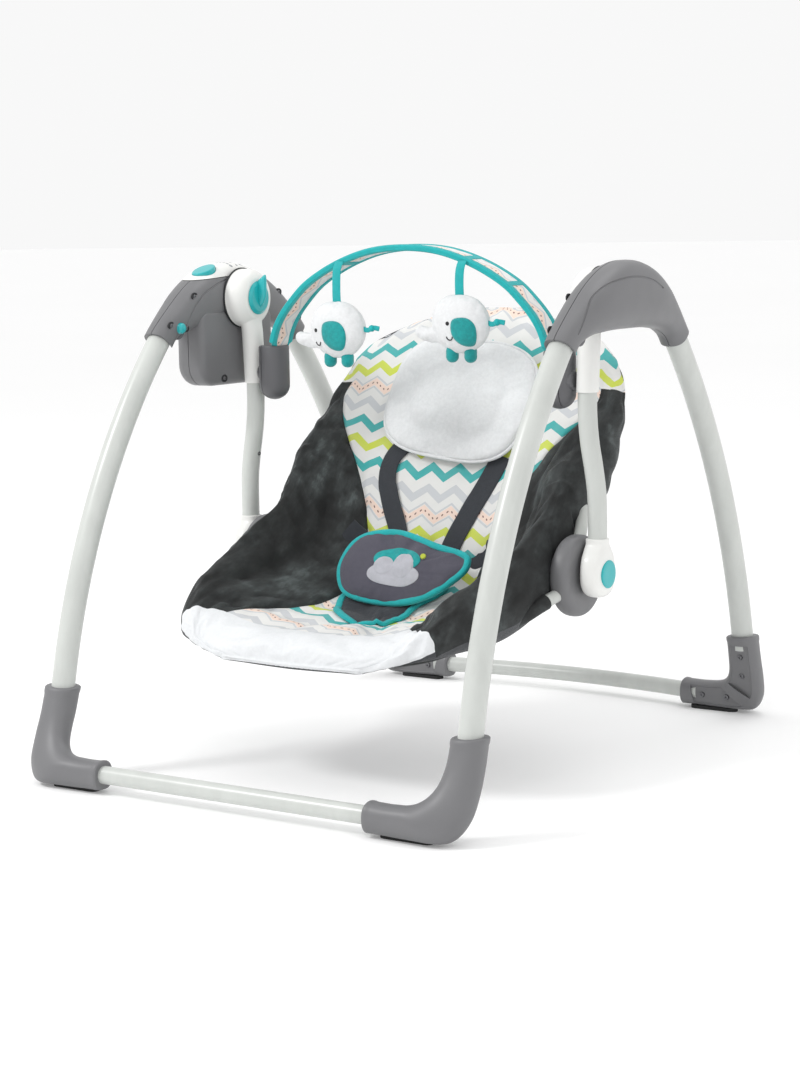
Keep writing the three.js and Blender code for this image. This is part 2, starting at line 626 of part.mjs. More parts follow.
const frontTubePath = () => {
  const half = [[201, -36, 192], [194, -62, 184], [182, -100, 171], [162, -152, 160],
    [138, -198, 149], [84, -220, 142], [0, -224, 140]];
  return spline([...half, ...half.slice(0, -1).map(([x, y, z]) => [-x, y, z]).reverse()]);
};

const backTubePath = () => {
  const half = [[200, 14, 246], [193, 33, 266], [182, 54, 288], [179, 82, 320], [174, 114, 360],
    [163, 138, 398], [134, 157, 433], [68, 170, 460], [0, 173, 466]];
  return spline([...half, ...half.slice(0, -1).map(([x, y, z]) => [-x, y, z]).reverse()]);
};

function seatTub() {
  const sleeves = [tube(frontTubePath(), TUBE_STEPS, SEAT_TUBE_R + 0.7, 0, 8),
    tube(backTubePath(), TUBE_STEPS, SEAT_TUBE_R + 0.7, 0, 8)];
  return cut(loft(TUB.map(tubSection)), ...sleeves);
}

function seatHub() {
  const { x0, x1 } = SEAT_HUB;
  const disc = turnedX([
    [x0, 0], [x0, SEAT_HUB_R - 9], [x0 + 3, SEAT_HUB_R - 3], [x0 + 8, SEAT_HUB_R],
    [x1 - 7, SEAT_HUB_R], [x1, SEAT_HUB_R - 7], [x1, 0],
  ], 0, RECLINE_Z, 20);
  const axle = pinX(x1 - 2, 230.5, 0, RECLINE_Z, 8, 12);
  const holes = [tube(frontTubePath(), TUBE_STEPS, SEAT_TUBE_R + 0.5, 0, 8),
    tube(backTubePath(), TUBE_STEPS, SEAT_TUBE_R + 0.5, 0, 8)];
  return cut(join(disc, axle), ...holes);
}

// A point above the seating surface; row counts the sections of TUB from the front lip.
function aboveSeat(x, row, height) {
  const first = TUB[Math.floor(row)];
  const next = TUB[Math.floor(row) + 1];
  const mix = (key) => first[key].map((value, k) => THREE.MathUtils.lerp(value, next[key][k], row % 1));
  const c = mix('c');
  const [w, ridgeY, ridgeZ] = mix('r');
  const rise = (Math.abs(x) / w) ** CUP;
  const normal = vec(0, first.c[1] - next.c[1], next.c[0] - first.c[0]).normalize();
  const point = vec(x, c[0] + rise * (ridgeY - c[0]), c[1] + rise * (ridgeZ - c[1]));
  return { point: point.addScaledVector(normal, height), normal };
}

// Webbing lying on the seat through stations [x, row].
function webbingStrap(stations) {
  const HALF_WIDTH = 12.5;
  const HALF_THICK = 1;
  const ABOVE_SEAT = 5;
  const course = stations.map(([x, row]) => aboveSeat(x, row, ABOVE_SEAT));
  const curve = new THREE.CatmullRomCurve3(course.map(({ point }) => point));
  return loft(course.map(({ point, normal }, i) => {
    const along = curve.getTangent(i / (course.length - 1));
    const side = along.clone().cross(normal).normalize();
    const face = side.clone().cross(along).normalize();
    return ring(point, side.multiplyScalar(HALF_WIDTH), face.multiplyScalar(HALF_THICK), 8, 5);
  }));
}

// Head pillow: a rounded rectangle square to the back, a little askew.
function headPillow() {
  const centre = vec(3, 92, 385);
  const across = vec(93, -5, -10);
  const upwards = vec(9, 31, 64);
  const front = across.clone().cross(upwards).normalize();
  const rows = [[0.84, -6.5], [1, -4], [1, 0], [0.94, 5], [0.7, 9], [0.35, 11]];
  return loft(rows.map(([size, lift]) => ring(centre.clone().addScaledVector(front, lift),
    across.clone().multiplyScalar(size), upwards.clone().multiplyScalar(size), 24, 3.2)));
}

// Crotch pad: a leaf-shaped cushion standing in front of the back, on a short flap.
function crotchPad() {
  const outline = [[-25, 45], [-55, 38], [-72, 22], [-78, -6], [-64, -31], [-32, -40], [15, -40],
    [53, -26], [84, 0], [90, 15], [82, 24], [44, 32], [4, 43]];
  const centre = vec(0, -38, 205);
  const upwards = vec(0, 0.475, 0.88);
  const front = vec(0, -0.88, 0.475);
  const rows = [[0.8, -6], [0.97, -3.5], [1, 0], [0.95, 3.5], [0.7, 6.5]];
  const pad = loft(rows.map(([size, lift]) => outline.map(([x, up]) => vec(size * x, 0, 0)
    .add(centre).addScaledVector(upwards, size * up).addScaledVector(front, lift))));
  const flap = [[-30, 174], [-38, 166], [-60, 162.5], [-100, 160.5], [-100, 164], [-62, 168],
    [-52, 172], [-46, 182]];
  return join(pad, slabX(flap, -45, 30));
}

// ---------------------------------------------------------------- frame
const motorSide = housings(true);
const plainSide = housings(false);

for (const [side, s] of SIDES) {
  const shells = s < 0 ? motorSide : plainSide;
  add('rearFrame', `housing_inner_${side}`, flip(shells.inner, s), greyPlastic);
  add('rearFrame', `housing_outer_${side}`, flip(shells.outer, s), greyPlastic);
  add('rearFrame', `rear_leg_${side}`, flip(leg(REAR, REAR_LEG_PAST_TOP, LEG_R, LEG_BORE_R), s),
    paintedTube);
  add('rearFrame', `rear_foot_${side}`,
    flip(foot(REAR, REAR_ARM_Y, rearCross(CROSS_R + GAP, 0, 1)), s), greyPlastic);
  add('rearFrame', `rear_pad_${side}`, flip(rubberPad(REAR, REAR_ARM_Y), s), blackRubber);
  add('rearFrame', `fold_pin_${side}`,
    flip(pinX(PIN_END.x0, PIN_END.x1, FOLD.y, FOLD.z, PIN_R, 16), s), bareSteel);
  add('frontFrame', `leg_head_${side}`, flip(legHead(), s), darkPlastic);
  add('frontFrame', `front_leg_${side}`, flip(leg(FRONT, FRONT_LEG_PAST_TOP, LEG_R, LEG_BORE_R), s),
    paintedTube);
  add('frontFrame', `front_foot_${side}`,
    flip(foot(FRONT, FRONT_ARM_Y, frontCross(CROSS_R + GAP, 0, 1)), s), greyPlastic);
  add('frontFrame', `front_pad_${side}`, flip(rubberPad(FRONT, FRONT_ARM_Y), s), blackRubber);
  const dome = turnedX([
    [RELEASE.x0, 0], [RELEASE.x0 + 0.6, 3], [RELEASE.x0 + 2, 4.9], [RELEASE.x0 + 4, RELEASE_R],
    [RELEASE.x1, RELEASE_R], [RELEASE.x1, 0],
  ], FOLD.y, FOLD.z, 12);
  add('controls', `leg_release_${side}`, flip(dome, s), tealPlastic);
}
add('rearFrame', 'rear_cross_tube', rearCross(CROSS_R, CROSS_BORE_R), paintedTube);
add('frontFrame', 'front_cross_tube', frontCross(CROSS_R, CROSS_BORE_R), paintedTube);

// ---------------------------------------------------------------- drive and electrics
add('rearFrame', 'control_panel', flip(motorSide.panel, -1), whitePlastic);
add('rearFrame', 'battery_door', flip(doorPlate(0, BOX.x1 - BOX_WALL, BOX.x1), -1), greyPlastic);
add('controls', 'power_button', flip(ovalOnPanel(0, -5, 3), -1), tealPlastic);
add('rearFrame', 'drive_motor', flip(pinX(241, 279, -40, 499, 14, 18), -1), bareSteel);
add('rearFrame', 'circuit_board', flip(box(263, 264.6, 22, 58, 480, 512), -1), boardGreen);
add('rearFrame', 'speaker', flip(pinX(264, 271, 82, 489, 12, 16), -1), paperBlack);
let cell = 1;
for (const y of [-34, 17]) {
  for (const z of [419.6, 446.4]) {
    const can = new THREE.CylinderGeometry(12.7, 12.7, 49, 14).translate(-LEG_X, y, z);
    add('rearFrame', `battery_${cell}`, can, cellWrap);
    cell += 1;
  }
}

// ---------------------------------------------------------------- swinging arms
for (const [side, s] of SIDES) {
  add('hangers', `arm_hub_${side}`, flip(armHub(), s), whitePlastic);
  add('hangers', `hanger_arm_${side}`,
    flip(tube(hangerPath(470, 246), 8, HANGER_R, HANGER_BORE_R, 10), s), paintedTube);
  add('hangers', `lower_hub_${side}`, flip(lowerHub(), s), whitePlastic);
  const shaftEnd = s < 0 ? 262 : 254;
  add('hangers', `swing_shaft_${side}`, flip(pinX(219.8, shaftEnd, 0, AXIS_Z, SHAFT_R), s), bareSteel);
  const { x0, x1, r, z } = RECLINE_BUTTON;
  const button = turnedX([[x0, 0], [x0, r], [x1 - 1, r], [x1, r - 2.5], [x1, 0]], 0, z, 16);
  add('controls', `recline_button_${side}`, flip(button, s), tealPlastic);
  add('toyBar', `toy_pod_${side}`, flip(pod(), s), darkPlastic);
  add('toyBar', `elephant_toy_${side}`, elephant(s * TOY.x, TOY.bodyZ[side]), paleCloth);
}
add('controls', 'swing_lock_knob', flip(lockKnob(), -1), tealPlastic);
const aroundTang = [box(-200, 200, -60, TANG.y0, 400, TANG.z), box(-200, 200, TANG.y1, 60, 400, TANG.z)];
add('toyBar', 'toy_arch', cut(toyArch(0, TOY_BAR.y0, TOY_BAR.y1), ...aroundTang), chevronCloth);

// ---------------------------------------------------------------- seat
for (const [side, s] of SIDES) {
  add('seat', `seat_hub_${side}`, flip(seatHub(), s), greyPlastic);
}
add('seat', 'seat_tub', seatTub(), velour);
add('seat', 'seat_tube_front', tube(frontTubePath(), TUBE_STEPS, SEAT_TUBE_R, 0, 8), paintedTube);
add('seat', 'seat_tube_back', tube(backTubePath(), TUBE_STEPS, SEAT_TUBE_R, 0, 8), paintedTube);

add('seat', 'head_pillow', headPillow(), paleCloth);
add('seat', 'crotch_pad', crotchPad(), purpleCloth);
add('seat', 'shoulder_strap_left',
  webbingStrap([[-73, 9.9], [-79, 9.5], [-77, 9.1], [-70, 8.8], [-62, 8.4], [-48, 7.9]]), webbing);
add('seat', 'shoulder_strap_right',
  webbingStrap([[64, 9.5], [54, 9], [46, 8.6], [40, 8.2], [34, 7.8]]), webbing);
add('seat', 'waist_belt',
  webbingStrap([[-104, 7.5], [-80, 7.3], [-45, 7.1], [0, 7], [45, 7.1], [80, 7.3], [104, 7.5]]), webbing);

export default swing;
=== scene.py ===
"""The looks of a portable baby swing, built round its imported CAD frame. Lengths are in mm until
a mesh is made; +Z is up, the child faces -Y, and the motor side is -X."""
import math

import bmesh
import bpy
from mathutils import Matrix, Vector, noise
from mathutils.bvhtree import BVHTree


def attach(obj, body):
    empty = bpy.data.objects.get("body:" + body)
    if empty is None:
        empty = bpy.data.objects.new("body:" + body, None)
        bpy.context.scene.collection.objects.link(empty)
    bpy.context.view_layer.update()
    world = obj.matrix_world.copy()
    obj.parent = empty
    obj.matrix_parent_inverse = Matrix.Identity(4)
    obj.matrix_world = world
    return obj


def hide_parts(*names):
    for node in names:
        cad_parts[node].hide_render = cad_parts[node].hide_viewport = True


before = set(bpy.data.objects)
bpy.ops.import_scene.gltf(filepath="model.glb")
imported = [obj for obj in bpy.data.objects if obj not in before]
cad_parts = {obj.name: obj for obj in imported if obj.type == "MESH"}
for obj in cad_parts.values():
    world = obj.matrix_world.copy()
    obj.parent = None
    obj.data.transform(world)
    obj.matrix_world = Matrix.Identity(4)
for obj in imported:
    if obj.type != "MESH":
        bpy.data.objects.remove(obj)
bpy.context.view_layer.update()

MM = 0.001
SIDES = (("left", -1), ("right", 1))
ENDS = (("front", -1), ("rear", 1))
scene = bpy.context.scene


# ------------------------------------------------------------------ small geometry helpers
def catmull(rows, t):
    """Smooth value at t, counted in rows, through equally long tuples of numbers."""
    last = len(rows) - 1
    i = max(0, min(int(t), last - 1))
    f = t - i
    around = [rows[max(0, min(last, i + k))] for k in (-1, 0, 1, 2)]

    def mix(a, b, c, d):
        rising = (c - a) * f + (2 * a - 5 * b + 4 * c - d) * f * f
        return 0.5 * (2 * b + rising + (3 * b - a - 3 * c + d) * f ** 3)

    return tuple(mix(*values) for values in zip(*around))


def smooth(rows, steps):
    """The rows with steps smooth rows for each span."""
    return [catmull(rows, i / steps) for i in range((len(rows) - 1) * steps + 1)]


def table_at(table, x):
    """Straight-line look-up in a list of (x, value)."""
    for (x0, v0), (x1, v1) in zip(table, table[1:]):
        if x <= x1:
            return v0 + (v1 - v0) * max(0.0, (x - x0) / (x1 - x0))
    return table[-1][1]


def ring(centre, a, b, sides, power=2.0):
    """Points on a superellipse with half axes a and b."""
    def rounded(value):
        return math.copysign(abs(value) ** (2 / power), value)

    angles = [2 * math.pi * i / sides for i in range(sides)]
    return [centre + a * rounded(math.cos(t)) + b * rounded(math.sin(t)) for t in angles]


def new_object(name, points, faces, sharp=38):
    """A mesh object from points in mm, with outward normals and smooth shading."""
    mesh = bpy.data.meshes.new(name)
    mesh.from_pydata([Vector(p) * MM for p in points], [], faces)
    bm = bmesh.new()
    bm.from_mesh(mesh)
    bmesh.ops.recalc_face_normals(bm, faces=bm.faces)
    bm.to_mesh(mesh)
    bm.free()
    obj = bpy.data.objects.new(name, mesh)
    scene.collection.objects.link(obj)
    shade(obj, sharp)
    return obj


def shade(obj, sharp=38):
    obj.data.polygons.foreach_set("use_smooth", [True] * len(obj.data.polygons))
    obj.data.set_sharp_from_angle(angle=math.radians(sharp))


def skin(name, rings, sharp=38):
    """A closed skin over rings that have the same number of points."""
    n = len(rings[0])
    points = [p for one in rings for p in one]
    faces = [
        (r * n + i, r * n + (i + 1) % n, (r + 1) * n + (i + 1) % n, (r + 1) * n + i)
        for r in range(len(rings) - 1) for i in range(n)
    ]
    faces += [tuple(range(n)), tuple(range(len(points) - n, len(points)))]
    return new_object(name, points, faces, sharp)


def tube(name, path, radius, sides=28, flat=1.0, up=None):
    """A round bar along points; radius may be a list. flat squeezes it along up."""
    rings, side = [], None
    for i, p in enumerate(path):
        tangent = (path[min(i + 1, len(path) - 1)] - path[max(i - 1, 0)]).normalized()
        if up is not None:
            side = tangent.cross(up).normalized()
        elif side is None:
            side = tangent.orthogonal().normalized()
        else:
            side = (side - tangent * side.dot(tangent)).normalized()
        r = radius[i] if isinstance(radius, list) else radius
        rings.append(ring(p, side * r, tangent.cross(side) * r * flat, sides))
    return skin(name, rings)


def turned(name, profile, y, z, sx, steps=3, sides=72):
    """A turned piece about X from (x, radius) pairs; sx mirrors it."""
    rows = smooth(profile, steps)
    rings = [ring(Vector((sx * x, y, z)), Vector((0, r, 0)), Vector((0, 0, r)), sides)
             for x, r in rows]
    return skin(name, rings, 50)


def prism(name, outline, x0, x1):
    """An outline of (y, z) points swept along X."""
    n = len(outline)
    points = [(x, y, z) for x in (x0, x1) for y, z in outline]
    faces = [(i, (i + 1) % n, n + (i + 1) % n, n + i) for i in range(n)]
    return new_object(name, points, faces + [tuple(range(n)), tuple(range(n, 2 * n))])


def apply_modifiers(obj):
    graph = bpy.context.evaluated_depsgraph_get()
    mesh = bpy.data.meshes.new_from_object(obj.evaluated_get(graph))
    obj.modifiers.clear()
    obj.data = mesh


def boolean(obj, other, operation):
    """Cuts, keeps or joins with other, which stays."""
    modifier = obj.modifiers.new("cut", "BOOLEAN")
    modifier.object, modifier.operation, modifier.solver = other, operation, "EXACT"
    apply_modifiers(obj)
    return obj


def copy_of(obj, name):
    twin = bpy.data.objects.new(name, obj.data.copy())
    scene.collection.objects.link(twin)
    return twin


def discard(*objects):
    for obj in objects:
        bpy.data.objects.remove(obj)


def bevel(obj, width, segments=3, angle=35):
    modifier = obj.modifiers.new("bevel", "BEVEL")
    modifier.width, modifier.segments = width * MM, segments
    modifier.limit_method, modifier.angle_limit = "ANGLE", math.radians(angle)
    modifier.harden_normals = False
    return obj


def subdivide(obj, levels=1):
    modifier = obj.modifiers.new("subdivision", "SUBSURF")
    modifier.levels = modifier.render_levels = levels
    return obj


def surface_of(*objects):
    """A ray-castable surface of finished meshes."""
    points, faces = [], []
    for obj in objects:
        base = len(points)
        points += [v.co.copy() for v in obj.data.vertices]
        faces += [tuple(base + i for i in p.vertices) for p in obj.data.polygons]
    return BVHTree.FromPolygons(points, faces)


def drop(surface, point, direction, lift):
    """Where a ray from a point in mm meets the surface, lifted back by lift; and the normal."""
    hit, normal, _, _ = surface.ray_cast(point * MM, direction.normalized())
    if hit is None:
        return None, None
    if normal.dot(direction) > 0:
        normal = -normal
    return hit / MM + normal * lift, normal


def place(obj, body, material, slot=None, *nodes):
    """Gives a piece its material and body, and hides the CAD nodes it stands for."""
    if material is not None:
        obj.data.materials.clear()
        obj.data.materials.append(material)
    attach(obj, body)
    if nodes:
        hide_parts(*nodes)
    return obj


# ------------------------------------------------------------------ materials
def srgb(r, g, b):
    """Linear colour with alpha from 0-255 sRGB numbers."""
    def linear(value):
        value /= 255
        return value / 12.92 if value <= 0.04045 else ((value + 0.055) / 1.055) ** 2.4
    return (linear(r), linear(g), linear(b), 1.0)


class Surface:
    """A material under construction, with short calls for the nodes it uses."""

    def __init__(self, name, **shader):
        self.material = bpy.data.materials.new(name)
        self.material.use_nodes = True
        self.tree = self.material.node_tree
        self.shader = self.tree.nodes["Principled BSDF"]
        self.set(self.shader, {key.replace("_", " "): value for key, value in shader.items()})
        self.object = self.node("ShaderNodeTexCoord").outputs["Object"]

    def set(self, node, inputs):
        for key, value in inputs.items():
            socket = node.inputs[key]
            if isinstance(value, bpy.types.NodeSocket):
                self.tree.links.new(value, socket)
            else:
                socket.default_value = value

    def node(self, kind, inputs=None, **settings):
        made = self.tree.nodes.new(kind)
        for key, value in settings.items():
            setattr(made, key, value)
        self.set(made, inputs or {})
        return made

    def math(self, operation, a, b=0.0, clamp=False):
        inputs = {0: a, 1: b}
        return self.node("ShaderNodeMath", inputs, operation=operation, use_clamp=clamp).outputs[0]

    def noise(self, scale, detail=3.0, roughness=0.5, vector=None):
        inputs = {"Vector": vector or self.object, "Scale": scale, "Detail": detail,
                  "Roughness": roughness}
        return self.node("ShaderNodeTexNoise", inputs).outputs["Fac"]

    def stretched(self, x, y, z, vector=None):
        inputs = {0: vector or self.object, 1: (x, y, z)}
        return self.node("ShaderNodeVectorMath", inputs, operation="MULTIPLY").outputs[0]

    def ramp(self, factor, stops, constant=False):
        made = self.node("ShaderNodeValToRGB", {0: factor})
        made.color_ramp.interpolation = "CONSTANT" if constant else "LINEAR"
        elements = made.color_ramp.elements
        while len(elements) < len(stops):
            elements.new(0.5)
        for element, (position, color) in zip(elements, stops):
            element.position, element.color = position, color
        return made.outputs["Color"]

    def mix(self, factor, a, b):
        made = self.node("ShaderNodeMix", {0: factor, 6: a, 7: b}, data_type="RGBA")
        return made.outputs[2]

    def spread(self, factor, low, high):
        inputs = {0: factor, 3: low, 4: high}
        return self.node("ShaderNodeMapRange", inputs).outputs[0]

    def bumps(self, height, distance, normal=None, strength=1.0):
        inputs = {"Height": height, "Distance": distance * MM, "Strength": strength}
        if normal is not None:
            inputs["Normal"] = normal
        return self.node("ShaderNodeBump", inputs).outputs["Normal"]

    def finish(self, color=None, roughness=None, normal=None):
        inputs = {"Base Color": color, "Roughness": roughness, "Normal": normal}
        self.set(self.shader, {key: value for key, value in inputs.items() if value is not None})
        return self.material


def shades(color, darker, lighter):
    return [tuple(c * f for c in color[:3]) + (1.0,) for f in (darker, lighter)]


def moulded(name, color, roughness, grain=900.0, depth=0.05, **shader):
    """Moulded plastic: fine spark texture, faint flow marks and handling wear."""
    s = Surface(name, **shader)
    low, high = shades(color, 0.93, 1.05)
    cloud = s.noise(14, 4)
    base = s.ramp(cloud, [(0.3, low), (0.7, high)])
    rough = s.spread(s.noise(45, 5), roughness - 0.07, roughness + 0.07)
    fine = s.noise(grain, 2)
    wide = s.bumps(s.noise(60, 2), 0.08)
    return s.finish(base, rough, s.bumps(fine, depth, wide))


def painted(name, color):
    """Painted steel tube: light orange peel, dust and faint scuffs along the tube."""
    s = Surface(name, Metallic=0.0, Coat_Weight=0.35, Coat_Roughness=0.22)
    low, high = shades(color, 0.95, 1.03)
    scuffs = s.noise(38, 6, 0.65, s.stretched(1, 1, 0.25))
    base = s.ramp(scuffs, [(0.35, low), (0.62, high)])
    rough = s.spread(scuffs, 0.42, 0.3)
    return s.finish(base, rough, s.bumps(s.noise(420, 2), 0.03))


def metal(name, color, roughness):
    s = Surface(name, Metallic=1.0)
    low, high = shades(color, 0.85, 1.05)
    brushed = s.noise(300, 3, 0.6, s.stretched(0.1, 1, 1))
    rough = s.spread(brushed, roughness - 0.08, roughness + 0.1)
    return s.finish(s.ramp(brushed, [(0.3, low), (0.7, high)]), rough, s.bumps(brushed, 0.02))


def velour(name, color):
    """Crushed velour: random brushed patches and strokes from a deep tone to light painted highlights, painted
    highlights on the tops of folds and painted shade in their grooves, a short pile and a soft sheen.
    """
    s = Surface(name, Sheen_Weight=0.22, Sheen_Roughness=0.3, Sheen_Tint=(0.72, 0.78, 0.8, 1))
    deep, painted_highlight = shades(color, 0.3, 7.5)
    patches = s.noise(17, 8, 0.66, s.stretched(1, 0.5, 0.75))
    strokes = s.noise(80, 5, 0.65, s.stretched(1, 0.22, 0.4))
    both = s.math("ADD", s.math("MULTIPLY", patches, 0.62), s.math("MULTIPLY", strokes, 0.38))
    # The tub's fold height: raised folds painted lighter as highlight, grooves painted darker as shade.
    fold_light_and_shade = s.node("ShaderNodeAttribute", attribute_name="fold").outputs["Fac"]
    both = s.math("ADD", both, s.math("MULTIPLY", fold_light_and_shade, 0.022))
    # Deep tone, base colour, then lighter steps up to a painted highlight.
    base = s.ramp(both, [(0.41, deep), (0.5, color), (0.58, shades(color, 1, 2.6)[1]), (0.66, painted_highlight)])
    pile = s.bumps(s.noise(1500, 2), 0.25)
    return s.finish(base, s.spread(both, 0.9, 0.55), s.bumps(both, 3.0, pile, 0.6))


def plush(name, color, shade_to=0.86):
    """Short plush: fine fibres, small tufts and a faint unevenness of tone."""
    s = Surface(name, Sheen_Weight=0.3, Sheen_Roughness=0.5)
    low, high = shades(color, shade_to, 1.02)
    tufts = s.noise(260, 4, 0.6)
    base = s.ramp(s.math("ADD", s.math("MULTIPLY", tufts, 0.5),
                         s.math("MULTIPLY", s.noise(18, 3), 0.5)), [(0.36, low), (0.62, high)])
    return s.finish(base, 0.95, s.bumps(s.noise(1100, 3, 0.7), 0.35, s.bumps(tufts, 0.5)))


def weave_height(s, pitch):
    """Over-and-under threads of a plain weave, from the cloth's own coordinates."""
    u, v = cloth_axes(s)
    k = math.pi / (pitch * MM)
    warp = s.math("ABSOLUTE", s.math("SINE", s.math("MULTIPLY", u, k)))
    weft = s.math("ABSOLUTE", s.math("SINE", s.math("MULTIPLY", v, k)))
    return s.math("MULTIPLY", warp, weft)


def cloth_axes(s):
    along = s.node("ShaderNodeAttribute", attribute_name="cloth").outputs["Vector"]
    split = s.node("ShaderNodeSeparateXYZ", {0: along})
    return split.outputs[0], split.outputs[1]


def woven(name, color, pitch=0.9, depth=0.25, sheen=0.15):
    """Plain woven cloth or webbing with thread-to-thread variation, and painted shade where the weave dips between
    threads.
    """
    s = Surface(name, Sheen_Weight=sheen)
    low, high = shades(color, 0.72, 1.2)
    threads = weave_height(s, pitch)
    uneven = s.noise(160, 4, 0.6)
    # The tone follows the weave height, so the dips between threads are painted darker as shade.
    tone = s.math("ADD", s.math("MULTIPLY", threads, 0.55), s.math("MULTIPLY", uneven, 0.45))
    return s.finish(s.ramp(tone, [(0.1, low), (0.8, high)]), 0.88, s.bumps(threads, depth))


WHITE = srgb(232, 231, 228)
TEAL = srgb(30, 172, 170)
LIME = srgb(206, 218, 58)
GREY = srgb(203, 205, 208)
PEACH = srgb(246, 219, 203)
BROWN = srgb(112, 66, 52)
# The zigzag stripes from the front of the liner up to its top.
STRIPES = [
    PEACH, GREY, TEAL, LIME, PEACH, GREY, TEAL, LIME, TEAL, LIME, PEACH, GREY,
    TEAL, LIME, TEAL, GREY, PEACH, LIME, TEAL, GREY, PEACH, LIME, TEAL, GREY,
]
STRIPE_PITCH = 25.5
ZIG_PERIOD = 36.0
ZIG_HEIGHT = 13.0


def zigzag_print(name, first):
    """White cloth with rows of zigzag stripes; first is where stripe 0 starts, in mm."""
    s = Surface(name, Sheen_Weight=0.1)
    u, v = cloth_axes(s)
    u = s.math("ADD", u, s.math("MULTIPLY", s.noise(30, 2), 1.5 * MM))
    wave = s.math("PINGPONG", u, 0.5 * ZIG_PERIOD * MM)
    lift = s.math("MULTIPLY", wave, ZIG_HEIGHT / (0.5 * ZIG_PERIOD))
    place_up = s.math("SUBTRACT", s.math("SUBTRACT", v, lift), first * MM)
    count = s.math("DIVIDE", place_up, STRIPE_PITCH * MM)
    inside = s.math("FRACT", count)
    share = s.math("FRACT", s.math("DIVIDE", s.math("FLOOR", count), len(STRIPES)))
    stops = [(i / len(STRIPES), color) for i, color in enumerate(STRIPES)]
    ink = s.ramp(s.math("ADD", share, 0.5 / len(STRIPES)), stops, constant=True)
    off_middle = s.math("ABSOLUTE", s.math("SUBTRACT", inside, 0.5))
    stripe = s.math("LESS_THAN", off_middle, 0.21)
    base = s.mix(stripe, WHITE, ink)
    peach_stops = [(i / len(STRIPES), (1.0 if color == PEACH else 0.0,) * 3 + (1,))
                   for i, color in enumerate(STRIPES)]
    on_peach = s.ramp(s.math("ADD", share, 0.5 / len(STRIPES)), peach_stops, constant=True)
    edge = s.math("LESS_THAN", s.math("ABSOLUTE", s.math("SUBTRACT", off_middle, 0.3)), 0.055)
    base = s.mix(s.math("MULTIPLY", edge, on_peach), base, GREY)
    dot_u = s.math("SUBTRACT", s.math("FRACT", s.math("DIVIDE", u, 6 * MM)), 0.5)
    dot_v = s.math("MULTIPLY", s.math("SUBTRACT", inside, 0.5), STRIPE_PITCH / 6)
    far = s.math("SQRT", s.math("ADD", s.math("POWER", dot_u, 2), s.math("POWER", dot_v, 2)))
    dots = s.math("MULTIPLY", s.math("LESS_THAN", far, 0.2), on_peach)
    base = s.mix(dots, base, BROWN)
    worn = s.mix(s.math("MULTIPLY", s.noise(70, 5), 0.22), base, GREY)
    threads = weave_height(s, 0.7)
    folds = s.bumps(s.noise(26, 3), 1.2)
    return s.finish(worn, 0.88, s.bumps(threads, 0.12, folds))


tube_paint = painted("tube_paint", srgb(196, 199, 195))
grey_plastic = moulded("grey_plastic", srgb(113, 113, 115), 0.45)
dark_plastic = moulded("dark_plastic", srgb(93, 93, 96), 0.42)
white_plastic = moulded("white_plastic", srgb(232, 232, 229), 0.36, depth=0.02, Coat_Weight=0.2)
teal_plastic = moulded("teal_plastic", srgb(24, 172, 176), 0.32, depth=0.02, Coat_Weight=0.3)
shadow_gap = moulded("shadow_gap", srgb(42, 43, 45), 0.7)
rubber = moulded("rubber", srgb(40, 40, 41), 0.85, 500, 0.15)
steel = metal("steel", (0.62, 0.63, 0.65, 1), 0.32)
# Dark grey steel, darker than bare steel so that the screws look like the shade in their holes: painted shade.
screw_steel = metal("screw_steel", (0.2, 0.2, 0.21, 1), 0.38)
panel_ink = moulded("panel_ink", srgb(150, 153, 156), 0.5)
board_green = moulded("board_green", srgb(46, 106, 68), 0.5)
cell_wrap = moulded("cell_wrap", srgb(56, 57, 60), 0.35, Coat_Weight=0.4)
velour_cloth = velour("velour", srgb(27, 30, 30))
white_plush = plush("white_plush", srgb(228, 229, 230), 0.9)
white_velour = plush("white_velour", srgb(226, 228, 230), 0.95)
teal_felt = plush("teal_felt", srgb(22, 160, 160), 0.7)
webbing = woven("webbing", srgb(52, 55, 61), 1.4, 0.35)
purple_cloth = woven("purple_cloth", srgb(84, 82, 95), 0.8)
teal_binding = woven("teal_binding", srgb(24, 176, 178), 0.9)
lining = woven("lining", srgb(70, 72, 75), 1.1)
thread_dark = woven("thread_dark", srgb(30, 30, 32), 0.5)
patch_grey = woven("patch_grey", srgb(196, 196, 204), 0.7)
patch_lime = woven("patch_lime", srgb(200, 212, 70), 0.7)

for node_names, material in (
    (("fold_pin", "swing_shaft"), steel),
    (("leg_head",), dark_plastic),
    (("rear_pad", "front_pad"), rubber),
):
    for node_name in node_names:
        for side, _ in SIDES:
            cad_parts[f"{node_name}_{side}"].material_slots[0].material = material
for node_name, material in (
    ("drive_motor", steel), ("circuit_board", board_green), ("speaker", rubber),
    ("battery_door", grey_plastic), ("battery_1", cell_wrap), ("battery_2", cell_wrap),
    ("battery_3", cell_wrap), ("battery_4", cell_wrap),
):
    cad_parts[node_name].material_slots[0].material = material

# ------------------------------------------------------------------ camera, light and floor
CAMERA_AT = Vector((1.3643, -2.1048, 0.5800))
AZIMUTH, ELEVATION, ROLL = (math.radians(a) for a in (33.361, 7.995, -0.971))
LENS = 74.87


